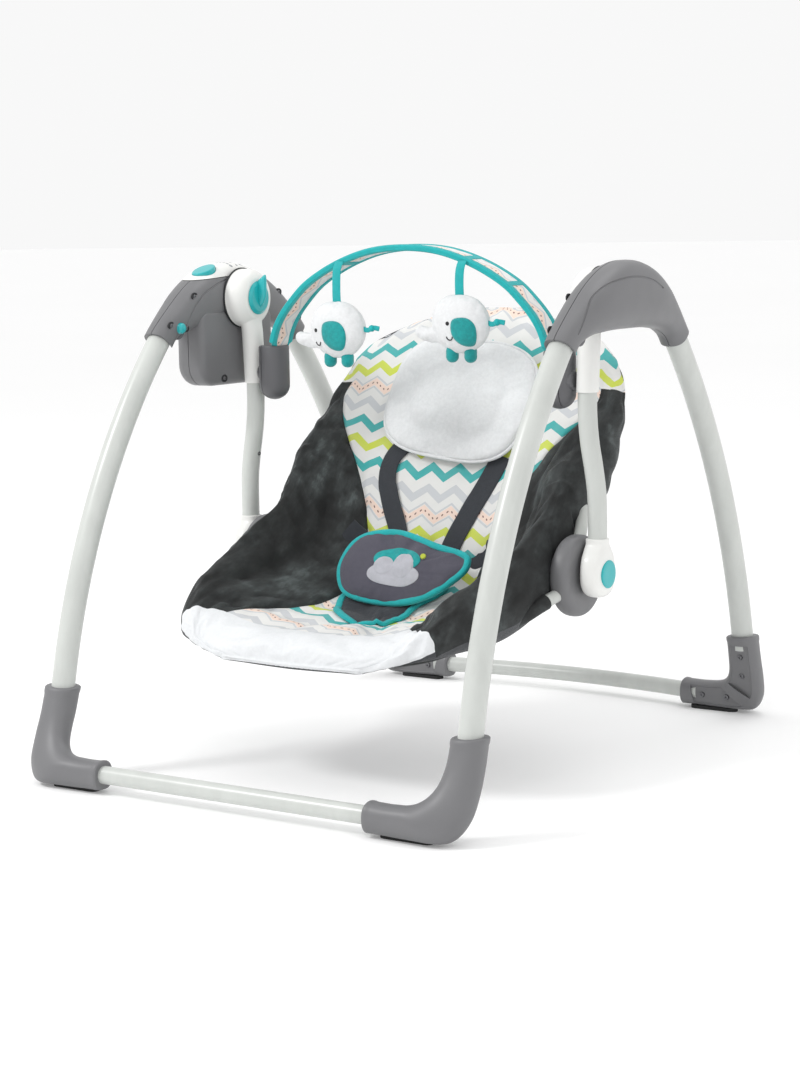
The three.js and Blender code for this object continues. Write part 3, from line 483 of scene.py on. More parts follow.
def set_camera():
    back = Vector((math.sin(AZIMUTH) * math.cos(ELEVATION),
                   -math.cos(AZIMUTH) * math.cos(ELEVATION), math.sin(ELEVATION)))
    right = Vector((math.cos(AZIMUTH), math.sin(AZIMUTH), 0))
    up = back.cross(right)
    turned_right = right * math.cos(ROLL) + up * math.sin(ROLL)
    turned_up = up * math.cos(ROLL) - right * math.sin(ROLL)
    data = bpy.data.cameras.new("camera")
    data.sensor_fit, data.sensor_width, data.lens = "AUTO", 36.0, LENS
    camera = bpy.data.objects.new("camera", data)
    scene.collection.objects.link(camera)
    axes = Matrix((turned_right, turned_up, back)).transposed().to_4x4()
    camera.matrix_world = Matrix.Translation(CAMERA_AT) @ axes
    scene.camera = camera


def area_light(name, at, target, size, power, color=(1, 1, 1)):
    data = bpy.data.lights.new(name, "AREA")
    data.shape, data.size, data.energy, data.color = "DISK", size, power, color
    light = bpy.data.objects.new(name, data)
    light.location = at
    light.rotation_mode = "QUATERNION"
    direction = Vector(target) - Vector(at)
    light.rotation_quaternion = direction.to_track_quat("-Z", "Y")
    scene.collection.objects.link(light)


def set_stage():
    """A wide plain floor, nearly as light as the studio round it."""
    corners = [(-60000, -60000, 0), (60000, -60000, 0), (60000, 60000, 0), (-60000, 60000, 0)]
    floor = new_object("floor", corners, [(0, 1, 2, 3)])
    s = Surface("floor_paint", Specular_IOR_Level=0.1, Emission_Color=(1, 1, 1, 1),
                Emission_Strength=0.13)
    tone = s.ramp(s.noise(0.7, 2), [(0.2, (0.88, 0.88, 0.88, 1)), (0.8, (0.91, 0.91, 0.91, 1))])
    floor.data.materials.append(s.finish(tone, 0.85))
    world = bpy.data.worlds.new("studio")
    world.use_nodes = True
    world.node_tree.nodes["Background"].inputs["Color"].default_value = (1.0, 1.0, 1.0, 1)
    world.node_tree.nodes["Background"].inputs["Strength"].default_value = 0.94
    scene.world = world
    scene.view_settings.view_transform = "Standard"
    area_light("key", (-1.5, -1.6, 2.2), (0, 0, 0.3), 0.7, 30)
    area_light("fill", (2.6, -1.0, 1.4), (0, 0, 0.3), 1.4, 5)
    area_light("top", (0.3, 0.8, 2.8), (0, 0, 0.2), 1.2, 10)


set_camera()
set_stage()

# ------------------------------------------------------------------ legs and feet
LEG_X, LEG_R = 256.5, 12.7
LEG_TOP, LEG_END, LEG_BOW = (127, 457), (306, 95), 26
FOLD = (-107, 471.5)
AXIS_Z = 502
RECLINE_Z = 208
chord = math.dist(LEG_TOP, LEG_END)
ARC_R = (chord * chord / 4 + LEG_BOW * LEG_BOW) / (2 * LEG_BOW)
arc_y = (LEG_TOP[0] + LEG_END[0]) / 2 - (LEG_TOP[1] - LEG_END[1]) / chord * (ARC_R - LEG_BOW)
arc_z = (LEG_TOP[1] + LEG_END[1]) / 2 - (LEG_END[0] - LEG_TOP[0]) / chord * (ARC_R - LEG_BOW)
TOP_ANGLE = math.atan2(LEG_TOP[1] - arc_z, LEG_TOP[0] - arc_y)
END_ANGLE = math.atan2(LEG_END[1] - arc_z, LEG_END[0] - arc_y)


def leg_path(sx, facing, past_top, past_end, steps=40):
    """Points down a leg, from past_top mm inside the housing to past_end mm in the foot."""
    start, stop = TOP_ANGLE + past_top / ARC_R, END_ANGLE - past_end / ARC_R
    angles = [start + (stop - start) * i / steps for i in range(steps + 1)]
    return [Vector((sx * LEG_X, facing * (arc_y + ARC_R * math.cos(a)), arc_z + ARC_R * math.sin(a)))
            for a in angles]


# Each row of a foot: outer x, outer z, inner x, inner z, way to the cross tube, half thickness.
FOOT_ROWS = [
    (274.5, 98, 238.5, 96, 0, 17), (275, 71, 238, 73, 0.2, 17.2), (275, 46, 235.5, 56, 0.45, 17.5),
    (272.5, 24, 229.5, 44.5, 0.7, 17.5), (263, 8, 220, 37.5, 0.9, 17), (249, 2, 209, 34.5, 1, 16.5),
    (228, 1.6, 197, 33.6, 1, 16), (200, 2.4, 186, 33.4, 1, 15.2), (168, 3.4, 168, 34, 1, 14.6),
]
ARM_Y = {"front": 348, "rear": 336.5}
CROSS_R, ARM_Z, REAR_BOW, CROSS_END = 9.5, 19.6, 16.6, 188


def foot_ring(sx, end, facing, t, width, near, far, sides, power):
    """A foot section at t rows down; it spans the depths near to far, in shares of its half
    thickness, where -1 is the side that faces the middle of the swing."""
    ox, oz, ix, iz, reach, half = catmull(FOOT_ROWS, t)
    y = LEG_END[0] + (ARM_Y[end] - LEG_END[0]) * reach
    centre = Vector((sx * (ox + ix) / 2, facing * (y + half * (near + far) / 2), (oz + iz) / 2))
    across = Vector((sx * (ox - ix) / 2, 0, (oz - iz) / 2)) * width
    return ring(centre, across, Vector((0, half * (far - near) / 2, 0)), sides, power)


def foot(name, sx, end, facing):
    """A corner foot with a raised lip round each mouth; a rear foot has two recesses."""
    last = len(FOOT_ROWS) - 1
    rings = []
    for i in range(last * 9 + 1):
        t = i / 9
        lip = 1.035 if min(t, last - t) < 0.3 else 1.0
        rings.append(foot_ring(sx, end, facing, t, lip, -lip, lip, 56, 2.4))
    for first, way in ((0, Vector((0, 0, 1))), (-1, Vector((-sx, 0, 0)))):
        mouth = rings[first]
        centre = sum(mouth, Vector()) / len(mouth)
        cap = [centre + (p - centre) * 0.93 + way * 1.2 for p in mouth]
        rings.insert(0, cap) if first == 0 else rings.append(cap)
    for p in (p for one in rings for p in one):
        p.z = max(p.z, 4.3)
    body = skin(name, rings, 45)
    if end == "front":
        return body
    for start, stop in ((0.45, 3.4), (4.5, 7.4)):
        steps = [start + (stop - start) * i / 14 for i in range(15)]
        recess = skin("recess", [foot_ring(sx, end, facing, t, 0.66, -1.3, -0.74, 40, 6) for t in steps])
        boolean(body, recess, "DIFFERENCE")
        discard(recess)
    shade(body, 40)
    return body


def stud(name, at, direction, r, height, body, material):
    """A screw head with a round socket, standing at a point and facing along direction."""
    way = direction.normalized()
    side = way.orthogonal().normalized()
    up = way.cross(side)
    profile = [(-0.5, r), (0.3 * height, r), (height, 0.82 * r), (height, 0.42 * r), (0.2 * height, 0.36 * r)]
    rings = [ring(at + way * h, side * size, up * size, 20) for h, size in profile]
    return place(skin(name, rings, 30), body, material)


for end, facing in ENDS:
    body = f"{end}_frame"
    for side, sx in SIDES:
        past_top = 14 if end == "rear" else 8
        node = f"{end}_leg_{side}"
        leg = tube(f"{node}_tube", leg_path(sx, facing, past_top, 12), LEG_R, 40)
        place(leg, body, tube_paint, "painted_tube", node)
        node = f"{end}_foot_{side}"
        place(foot(f"{node}_shell", sx, end, facing), body, grey_plastic, "grey_plastic", node)
        for k, t in enumerate((0.95, 2.1, 5.1, 6.9) if end == "rear" else ()):
            seat_of_screw = foot_ring(sx, end, facing, t, 0.1, -0.76, -0.74, 4, 2)
            at = sum(seat_of_screw, Vector()) / 4
            stud(f"{node}_screw_{k + 1}", at, Vector((0, -facing, 0)), 3.4, 1.6, body, screw_steel)
        bevel(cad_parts[f"{end}_pad_{side}"], 0.8)
    cross = []
    for i in range(61):
        x = -CROSS_END + 2 * CROSS_END * i / 60
        bow = REAR_BOW * (1 - (x / 168) ** 2) if end == "rear" else 0
        cross.append(Vector((x, facing * (ARM_Y[end] + bow), ARM_Z)))
    place(tube(f"{end}_cross_bar", cross, CROSS_R, 36), body, tube_paint, "painted_tube",
          f"{end}_cross_tube")

# ------------------------------------------------------------------ housings
ARCH = [
    (-139.5, 467, -115.5, 446.5, LEG_X - 15.6, LEG_X + 15.6),
    (-130, 476.5, -104, 458.5, LEG_X - 15.8, LEG_X + 16.2),
    (-106, 496.5, -84, 466.5, 238.6, 277), (-80, 516, -60, 469.5, 236.6, 282),
    (-50, 532, -38, 471, 235.3, 285.6), (-22, 540.5, -18, 471.5, 235, 287),
]
ARCH += [(0, 542.5, 0, 471.5, 235, 287)]
ARCH += [(-ty, tz, -by, bz, x0, x1) for ty, tz, by, bz, x0, x1 in reversed(ARCH[:-1])]
HOUSE_GAP = 0.8
BOX = dict(x0=236, x1=278, y0=-74, y1=62, z0=403, z1=488)


def arch_body(name, sx):
    rings = []
    for ty, tz, by, bz, x0, x1 in smooth(ARCH, 7):
        centre = Vector((sx * (x0 + x1) / 2, (ty + by) / 2, (tz + bz) / 2))
        across = Vector((sx * (x1 - x0) / 2, 0, 0))
        rings.append(ring(centre, across, Vector((0, (ty - by) / 2, (tz - bz) / 2)), 44, 2.5))
    return skin(name, rings)


def leg_slot(name, sx):
    """The slot that a front leg swings through, from open to folded."""
    half = LEG_R + 0.6
    off = 5.4
    opened, folded = math.radians(41), math.radians(41 - 55)

    def at(angle, along, across):
        y = FOLD[0] - math.sin(angle) * along - math.cos(angle) * across
        return y, FOLD[1] - math.cos(angle) * along + math.sin(angle) * across

    outline = [at(opened, 0, off), at(opened, 75, off), at(folded, 75, off - half),
               at(folded, 0, off - half - 8)]
    x0, x1 = sorted((sx * (LEG_X - half), sx * (LEG_X + half)))
    return prism(name, outline, x0, x1)


def battery_box(name, sx):
    """An upright box with large round lower corners and softly rolled faces."""
    half_y, half_z = (BOX["y1"] - BOX["y0"]) / 2, (BOX["z1"] - BOX["z0"]) / 2
    cy, cz = (BOX["y1"] + BOX["y0"]) / 2, (BOX["z1"] + BOX["z0"]) / 2
    turns = [math.radians(90 * i / 6) for i in range(7)]
    profile = [(BOX["x0"] + 8 * (1 - math.cos(t)), 8 * (1 - math.sin(t))) for t in turns]
    profile += [(BOX["x1"] - 14 * (1 - math.cos(t)), 14 * (1 - math.sin(t))) for t in reversed(turns)]
    rings = []
    for x, inset in profile:
        points = []
        for corner_y, corner_z, r, start in ((1, 1, 10, 0), (-1, 1, 10, 90), (-1, -1, 25, 180), (1, -1, 25, 270)):
            for step in range(9):
                angle = math.radians(start + 90 * step / 8)
                y = cy + corner_y * (half_y - r) + (r - inset * r / 25) * math.cos(angle)
                z = cz + corner_z * (half_z - r) + (r - inset * r / 25) * math.sin(angle)
                points.append(Vector((sx * x, y - corner_y * inset * (1 - r / 25), z)))
        rings.append(points)
    return skin(name, rings)


def groove(shell, sx, line, from_x):
    """Cuts a fine line into a housing's face along (y, z) points, seen from the plane from_x."""
    surface = surface_of(shell)
    way = Vector((-sx if from_x > LEG_X else sx, 0, 0))
    path = []
    for y, z in smooth(line, 6):
        point, _ = drop(surface, Vector((sx * from_x, y, z)), way, 0.1)
        if point is not None:
            path.append(point)
    cutter = tube("groove", path, 1.1, 12)
    boolean(shell, cutter, "DIFFERENCE")
    discard(cutter)


def housing_screw(name, shell, sx, y, z):
    """A screw at the bottom of a well on a housing's inner face; the well is painted dark as shadow."""
    surface = surface_of(shell)
    point, _ = drop(surface, Vector((sx * 200, y, z)), Vector((sx, 0, 0)), 0)
    if point is None:
        return
    inward = Vector((-sx, 0, 0))
    side, up = Vector((0, 1, 0)), Vector((0, 0, 1))
    rings = [ring(point + inward * h, side * size * 1.25, up * size, 24, 2.0)
             for h, size in ((-1, 4.4), (0.35, 4.4), (0.6, 4.0), (0.6, 3.6), (0.1, 3.4))]
    # The well's dark colour is painted shadow in the screw hole.
    place(skin(name + "_well", rings, 30), "rear_frame", shadow_gap)
    stud(name, point + inward * 0.1, inward, 2.3, 0.9, "rear_frame", screw_steel)


OUTER_GROOVE = [(-119, 471), (-101, 494), (-85, 509), (-61, 520), (-32, 525), (-7, 525), (20, 521), (44, 512)]
INNER_GROOVE = [(-98, 472), (-95, 479), (-84, 494), (-65, 509), (-38, 520), (-14, 525)]


def slab(name, sx, x0, x1, z_at):
    """A block between two x planes, above the sloping line z_at(y)."""
    outline = [(-220, z_at(-220)), (220, z_at(220)), (220, 620), (-220, 620)]
    low, high = sorted((sx * x0, sx * x1))
    return prism(name, outline, low, high)


def panel_line(y):
    return 521.5 + (y + 96) * (534 - 521.5) / 156


POWER_AT, POWER_TILT = Vector((-LEG_X, -42, 535)), math.radians(20)


def power_slug(name, grow, profile):
    """An oval plug on the power button's axis; the profile is (lift off the panel, share of size)."""
    normal = Vector((0, -math.sin(POWER_TILT), math.cos(POWER_TILT)))
    forward = Vector((0, math.cos(POWER_TILT), math.sin(POWER_TILT)))
    return skin(name, [
        ring(POWER_AT + normal * lift, Vector((12 * size * grow, 0, 0)), forward * 16 * size * grow, 48)
        for lift, size in smooth(profile, 4)])


for side, sx in SIDES:
    body = arch_body(f"housing_{side}_body", sx)
    cutters = [leg_slot("slot", sx)]
    for facing, past in ((-1, 9.5), (1, 15)):
        cutters.append(tube("leg_room", leg_path(sx, facing, past, -chord + 12, 6), LEG_R + 0.5, 32))
    cutters.append(skin("release_room", [
        ring(Vector((sx * x, *FOLD)), Vector((0, 6.4, 0)), Vector((0, 0, 6.4)), 40)
        for x in (225, 250)]))
    for cutter in cutters:
        boolean(body, cutter, "DIFFERENCE")
    discard(*cutters)
    if side == "left":
        pocket = power_slug("power_button_room", 1.04, [(-8.2, 1), (0, 1), (6, 1)])
        boolean(body, pocket, "DIFFERENCE")
        discard(pocket)
        crate = battery_box("crate", sx)
        window = prism("window", [(-44.6, 413.4), (40.6, 413.4), (40.6, 462.6), (-44.6, 462.6)],
                       *sorted((sx * 275, sx * 290)))
        boolean(crate, window, "DIFFERENCE")
        discard(window)
        boolean(body, crate, "UNION")
        discard(crate)
        roof = slab("roof", sx, 200, 320, panel_line)
        panel = boolean(copy_of(body, "control_panel_cap"), roof, "INTERSECT")
        under = slab("under", sx, 200, 320, lambda y: panel_line(y) - HOUSE_GAP)
        boolean(body, under, "DIFFERENCE")
        discard(roof, under)
        shade(panel, 40)
        place(panel, "rear_frame", white_plastic, "white_plastic", "control_panel")
    inside = slab("inside", sx, 200, LEG_X - HOUSE_GAP / 2, lambda y: 380)
    outside = slab("outside", sx, LEG_X + HOUSE_GAP / 2, 320, lambda y: 380)
    inner = boolean(copy_of(body, f"housing_inner_{side}_shell"), inside, "INTERSECT")
    outer = boolean(copy_of(body, f"housing_outer_{side}_shell"), outside, "INTERSECT")
    discard(body, inside, outside)
    groove(inner, sx, INNER_GROOVE, 200)
    groove(outer, sx, OUTER_GROOVE, 320)
    for k, (y, z) in enumerate(((-80, 506), (-121, 475), (-97, 471), (80, 506), (121, 475))):
        housing_screw(f"housing_screw_{side}_{k + 1}", inner, sx, y, z)
    if side == "left":
        housing_screw("housing_screw_left_6", inner, sx, -35, 411)
    for part, node in ((inner, f"housing_inner_{side}"), (outer, f"housing_outer_{side}")):
        shade(part, 35)
        place(part, "rear_frame", grey_plastic, "grey_plastic", node)

# ------------------------------------------------------------------ hubs and hanger arms
HANGER_PATH = [
    (220.5, 0, 470), (219, 0, 430), (218, 0, 400), (218.4, 0, 375), (220.8, 0, 350),
    (225, 0, 325), (228.4, 0, 300), (229.4, 0, 275), (229.4, 0, 246),
]
HUB_PROFILE = [
    (211, 0.5), (211, 12), (211, 20), (211.6, 23.5), (213.8, 27.4), (218, 31.2), (224, 33),
    (231, 33), (234.2, 31.6), (234.4, 15), (234.4, 0.5),
]
NECK_ROWS = [(222.4, 492, 10.4, 24), (221.8, 476, 10.6, 15.5), (220.4, 460, 12.2, 12.4),
             (219.2, 430, 12.1, 12.1), (218.2, 406.5, 12, 12), (218.15, 405, 11.2, 11.2)]
LOWER_ROWS = [
    (249.5, 10.9, 10.9), (248.6, 11.6, 11.6), (243.4, 11.8, 11.8), (238, 12.6, 16),
    (229, 13.1, 23), (218, 13.2, 26.5), (206, 13.2, 26.5), (197, 13, 22.5), (190.5, 11.5, 15),
    (187, 7, 7), (186.4, 2, 2),
]

for side, sx in SIDES:
    arm = tube(f"hanger_arm_{side}_tube", [Vector((sx * x, y, z)) for x, y, z in smooth(HANGER_PATH, 8)],
               10.25, 36)
    place(arm, "swing_arms", tube_paint, "painted_tube", f"hanger_arm_{side}")
    stud(f"hanger_arm_{side}_screw", Vector((sx * 215.4, 0, 322)), Vector((-sx, 0, 0)), 2.6, 0.9,
         "swing_arms", screw_steel)
    hub = turned(f"arm_hub_{side}_disc", HUB_PROFILE, 0, AXIS_Z, sx)
    neck = skin(f"arm_hub_{side}_neck", [
        ring(Vector((sx * x, 0, z)), Vector((a, 0, 0)), Vector((0, b, 0)), 48)
        for x, z, a, b in smooth(NECK_ROWS, 6)])
    place(hub, "swing_arms", white_plastic, "white_plastic", f"arm_hub_{side}")
    place(neck, "swing_arms", white_plastic, "white_plastic")
    # A dark disc filling the gap between hub and housing: painted shadow.
    hub_shadow_disc = turned(f"hub_gap_{side}", [(233.6, 0.5), (233.6, 34.6), (235.2, 34.6), (235.2, 0.5)],
                    0, AXIS_Z, sx, 1)
    place(hub_shadow_disc, "rear_frame", shadow_gap)
    lower = skin(f"lower_hub_{side}_shell", [
        ring(Vector((sx * 229.3, 0, z)), Vector((a, 0, 0)), Vector((0, b, 0)), 56, 2.6)
        for z, a, b in smooth(LOWER_ROWS, 6)])
    place(lower, "swing_arms", white_plastic, "white_plastic", f"lower_hub_{side}")
    button = skin(f"recline_button_{side}_cap", [
        ring(Vector((sx * x, 0, 212)), Vector((0, r, 0)), Vector((0, 0, r)), 48)
        for x, r in smooth([(240, 15), (242.6, 15), (243.3, 14.2), (243.6, 10), (243.4, 0.6)], 4)])
    place(button, f"recline_button_{side}", teal_plastic, "teal_plastic", f"recline_button_{side}")
    disc = turned(f"seat_hub_{side}_disc", [
        (191, 0.5), (191, 33), (192.6, 38), (195, 41.6), (199, 43.6), (205, 44), (210, 43),
        (213.4, 40.4), (215, 36), (215.2, 20), (215.2, 9), (217, 8), (230, 8), (230, 0.5)],
        0, RECLINE_Z, sx)
    place(disc, "seat", grey_plastic, "grey_plastic", f"seat_hub_{side}")
    release = turned(f"leg_release_{side}_cap", [
        (234.5, 0.4), (234.8, 2.6), (235.8, 4.6), (237.6, 5.8), (239.4, 6), (240.9, 6), (240.9, 0.4)],
        FOLD[0], FOLD[1], sx, 4, 40)
    place(release, f"leg_release_{side}", teal_plastic, "teal_plastic", f"leg_release_{side}")

knob_rows = [(-1, -12, 20, 3.8), (-5, -9, 23, 3.4), (-8.5, -4, 25.6, 3.0), (-10.6, 1, 26.2, 2.3), (-11.3, 4, 25, 0.9)]
face_x = -210.7
grip = skin("lock_knob_grip", [
    ring(Vector((face_x - x, 0, AXIS_Z + (z0 + z1) / 2)), Vector((0, half, 0)),
         Vector((0, 0, (z1 - z0) / 2)), 40, 2.6)
    for x, z0, z1, half in smooth(knob_rows, 5)])
dial = turned("lock_knob_dial", [(207.7, 0.5), (207.6, 14), (207.9, 15.8), (209, 17.4), (210.7, 18), (210.7, 0.5)],
              0, AXIS_Z, -1, 4)
place(dial, "lock_knob", teal_plastic, "teal_plastic", "swing_lock_knob")
place(grip, "lock_knob", teal_plastic, "teal_plastic")

power = power_slug("power_button_cap", 1, [(-6, 1), (-0.4, 1), (0.5, 0.97), (1.1, 0.85), (1.3, 0.03)])
place(power, "power_button", teal_plastic, "teal_plastic", "power_button")

# ------------------------------------------------------------------ cloth and padding helpers
def cloth_coordinates(obj, values):
    """Stores each point's own cloth coordinates, given in mm, for the weave and the print."""
    attribute = obj.data.attributes.new("cloth", "FLOAT_VECTOR", "POINT")
    flat = [number * MM for value in values for number in value]
    attribute.data.foreach_set("vector", flat)


def strip_coordinates(obj, around, along):
    """Cloth coordinates of a tube-like skin: around points per ring, rings along mm apart."""
    count = len(obj.data.vertices)
    cloth_coordinates(obj, [((i % around) * 2.0, (i // around) * along, 0) for i in range(count)])


def stuff(obj, sewn, pressure, slack, cap, bending=0.4):
    """Fills a cover by cloth simulation with its sewn points held, then keeps the shape.
    slack is how much bigger than the shape the cover is cut, cap the most that a point moves."""
    mesh = obj.data
    start = [v.co.copy() for v in mesh.vertices]
    obj.vertex_groups.new(name="sewn").add(sewn, 1.0, "REPLACE")
    modifier = obj.modifiers.new("cloth", "CLOTH")
    cloth = modifier.settings
    cloth.quality, cloth.mass = 6, 0.25
    cloth.tension_stiffness = cloth.compression_stiffness = cloth.shear_stiffness = 12
    cloth.bending_stiffness = bending
    cloth.vertex_group_mass = "sewn"
    cloth.use_pressure, cloth.uniform_pressure_force = True, pressure
    cloth.shrink_min = -slack
    cloth.effector_weights.gravity = 0
    modifier.collision_settings.use_collision = False
    modifier.point_cache.frame_start, modifier.point_cache.frame_end = 1, 20
    for frame_number in range(1, 21):
        scene.frame_set(frame_number)
    filled = obj.evaluated_get(bpy.context.evaluated_depsgraph_get()).to_mesh()
    moved = [v.co.copy() for v in filled.vertices]
    obj.modifiers.clear()
    scene.frame_set(1)
    for v, old, new in zip(mesh.vertices, start, moved):
        shift = new - old
        if shift.length > cap * MM:
            shift *= cap * MM / shift.length
        v.co = old + shift
    obj.vertex_groups.clear()


def patch(name, surface, origin, across, up, outline, lift, rings=7):
    """A flat cloth or printed shape laid on a surface, seen along -(across x up)."""
    inward = up.cross(across)
    points = []
    count = len(outline)
    for k in range(rings):
        size = 1 - k / rings
        for x, y in outline:
            start = origin + across * x * size + up * y * size - inward * 60
            point, _ = drop(surface, start, inward, lift if k else lift * 0.4)
            points.append(point)
    for x, y in outline:
        start = origin + across * x * 1.01 + up * y * 1.01 - inward * 60
        point, _ = drop(surface, start, inward, -0.6)
        points.append(point)
    centre, _ = drop(surface, origin - inward * 60, inward, lift)
    points.append(centre)
    order = [rings] + list(range(rings))
    faces = []
    for a, b in zip(order, order[1:]):
        for i in range(count):
            j = (i + 1) % count
            faces.append((a * count + i, a * count + j, b * count + j, b * count + i))
    last = (rings - 1) * count
    faces += [(last + i, last + (i + 1) % count, len(points) - 1) for i in range(count)]
    obj = new_object(name, points, faces, 60)
    flat = [(x * (1 - k / rings), y * (1 - k / rings), 0) for k in range(rings) for x, y in outline]
    cloth_coordinates(obj, flat + [(x, y, 0) for x, y in outline] + [(0, 0, 0)])
    return obj


def oval(a, b, count=32, power=2.0, centre=(0, 0)):
    points = ring(Vector((centre[0], centre[1], 0)), Vector((a, 0, 0)), Vector((0, b, 0)), count, power)
    return [(p.x, p.y) for p in points]


# ------------------------------------------------------------------ marks on the control panel
UNIT_X, UNIT_Y, UNIT_Z = Vector((1, 0, 0)), Vector((0, 1, 0)), Vector((0, 0, 1))
panel_top = surface_of(bpy.data.objects["control_panel_cap"])
marks = [("speed", oval(1.1 + 0.28 * i, 1.1 + 0.28 * i, 16), -LEG_X - 10 + 5 * i, -4) for i in range(5)]
marks += [("timer", oval(1.6, 1.6, 16), -LEG_X + dx, 8) for dx in (-9, 0, 9)]
marks += [("sound", [(-2.2, -2), (2.4, 0), (-2.2, 2)], -LEG_X - 5, 19), ("stop", oval(2, 2, 24, 8), -LEG_X + 6, 19)]
for number, (kind, outline, x, y) in enumerate(marks):
    mark = patch(f"panel_{kind}_{number + 1}", panel_top, Vector((x, y, 500)), UNIT_X, UNIT_Y, outline, 0.25, 2)
    place(mark, "rear_frame", panel_ink)


# ------------------------------------------------------------------ seat tub
# Each row from the front lip: middle of the seating surface y and z, ridge half width, y and z,
# how far the bolster bulges out, its lower edge above the middle, and the padding's thickness.
TUB = [
    (-244, 136, 84, -244, 137, 4, -5, 8), (-239, 151, 124, -237, 155, 9, -8, 20),
    (-216, 160, 150, -218, 180, 15, -11, 29), (-168, 157, 163, -176, 207, 17, -3, 36),
    (-114, 154, 172, -114, 229, 17, 4, 37), (-60, 157, 175, -67, 249, 15, 13, 32),
    (-14, 171, 173, -25, 269, 13, 16, 28), (18, 201, 173, -6, 286, 13, 12, 27),
    (40, 240, 173, 9, 305, 15, 0, 31), (60, 280, 173, 30, 326, 16, -26, 36),
    (80, 324, 176, 62, 349, 15, -42, 38), (101, 368, 182, 102, 376, 12, -34, 37),
    (124, 408, 177, 130, 402, 9, -20, 32), (144, 441, 154, 144, 431, 7, -14, 28),
    (161, 468, 106, 159, 461, 6, -10, 22), (171, 484, 44, 170, 482, 4, -4, 12),
]
CUP = 3.1
# Half width of the printed liner, by row.
SEAM = [(2.5, 118), (3, 112), (4, 95), (5, 82), (6, 76), (7, 77), (8, 89), (8.5, 98), (9, 109),
        (9.5, 122), (10, 138), (10.5, 155), (11, 167), (11.5, 173), (16, 173)]
BAND_ROW, WRAP_ROW = 2.5, 11 + 5 / 6
ROW_STEPS = 6
COLUMNS = {"liner": 24, "side": 14, "roll": 7, "flank": 8, "under": 14}
tub_arc = [0.0]
for a, b in zip(TUB, TUB[1:]):
    tub_arc.append(tub_arc[-1] + math.dist(a[:2], b[:2]))


def tub_frame(row):
    """Centre, the way up to the ridge, the outward direction and the sizes of a tub section."""
    cy, cz, w, ry, rz, bulge, low, thick = catmull(TUB, row)
    up = Vector((0, ry - cy, rz - cz))
    flat = Vector((0, -0.35, 0.94)) if cy < 0 else Vector((0, -0.9, 0.43))
    share = max(0.0, min(1.0, (up.length - 5) / 16))
    normal = (flat * (1 - share) + up.normalized() * share).normalized()
    return Vector((0, cy, cz)), up, normal, w, bulge, low, thick


def seam_share(row):
    w = tub_frame(row)[3]
    half = sum(table_at(SEAM, row + d) for d in (-0.3, -0.1, 0.1, 0.3)) / 4
    return max(0.3, min(0.94, half / w))


def tub_half(row):
    """Right half of a section as (zone, point), from the middle of the seat round to its underside."""
    centre, up, normal, w, bulge, low, thick = tub_frame(row)

    def at(x, height, lift):
        return centre + Vector((x, 0, 0)) + up * lift + normal * height

    seam = seam_share(row)
    shape = []
    for i in range(COLUMNS["liner"]):
        q = seam * i / COLUMNS["liner"]
        shape.append(("liner", at(w * q, 0, q ** CUP)))
    for i in range(COLUMNS["side"]):
        q = seam + (1 - seam) * i / COLUMNS["side"]
        shape.append(("side", at(w * q, 0, q ** CUP)))
    knots = [
        at(0.86 * w, 0, 0.86 ** CUP), at(w, 0, 1), at(w + 0.62 * bulge, -0.12 * bulge, 1),
        at(w + bulge, -0.95 * bulge, 1), at(w + 0.72 * bulge, low, 0),
        at(0.74 * w, 0.45 * (low - thick), 0), at(0.4 * w, -0.9 * thick, 0), at(0, -thick, 0),
    ]
    for zone, first, spans in (("roll", 1, 2), ("flank", 3, 1), ("under", 4, 3)):
        count = COLUMNS[zone]
        shape += [(zone, Vector(catmull(knots, first + spans * i / count))) for i in range(count)]
    return shape + [("under", knots[-1])]


def warped_row(row, k, ridge):
    """Rows bend forward towards the outside, so that the white band narrows to its ends."""
    outside = max(0.0, min(1.0, (k - COLUMNS["liner"]) / (ridge - COLUMNS["liner"])))
    reach = row / BAND_ROW if row < BAND_ROW else max(0.0, (6 - row) / (6 - BAND_ROW))
    return row - 0.62 * outside * reach


def fold_noise(x, y, seed):
    return noise.noise(Vector((x, y, seed)))


def crease(x, y, seed, depth):
    """A narrow groove wherever the noise changes sign, with a soft swell beside it."""
    level = abs(fold_noise(x, y, seed))
    return 0.35 * depth * min(1.0, level / 0.2) - depth * max(0.0, 1 - level / 0.09)


def tub_wrinkle(zone, row, arc):
    """How far the cover stands out from the plain shape, in mm."""
    if zone == "under":
        return 0.0
    away = row - BAND_ROW
    if zone == "liner":
        return 0.9 * fold_noise(row * 1.7, arc * 0.025, 3.1)
    pleats = 1.5 * math.sin(arc * 0.38 + 2.2 * fold_noise(row * 0.5, arc * 0.02, 1.5))
    gather = pleats * math.exp(-abs(away) * (1.1 if away > 0 else 12))
    soft = 2.4 * fold_noise(row * 0.75 + arc * 0.006, arc * 0.018, 7.7)
    creases = crease(0.9 * row - 0.014 * arc, 0.022 * arc, 4.2, 4.2)
    creases += crease(1.9 * row + 0.02 * arc, 0.05 * arc, 9.6, 1.8)
    calm = 0.3 if away < 0 else max(0.15, min(1.0, (WRAP_ROW - row) / 2.5))
    if zone in ("flank", "roll"):
        calm *= 0.6
    return gather + calm * (soft + creases)


def fold_line(zone, row, across):
    """The sewn fold along each side wall, below the bolster; across is 0 at the liner, 1 at the ridge."""
    if zone != "side" or not 3 < row < 9.5:
        return 0.0
    fade = min(1.0, (row - 3) / 1.2, (9.5 - row) / 1.2)
    middle = 0.7 - 0.03 * (row - 3)
    return -5.5 * fade * math.exp(-((across - middle) / 0.07) ** 2)


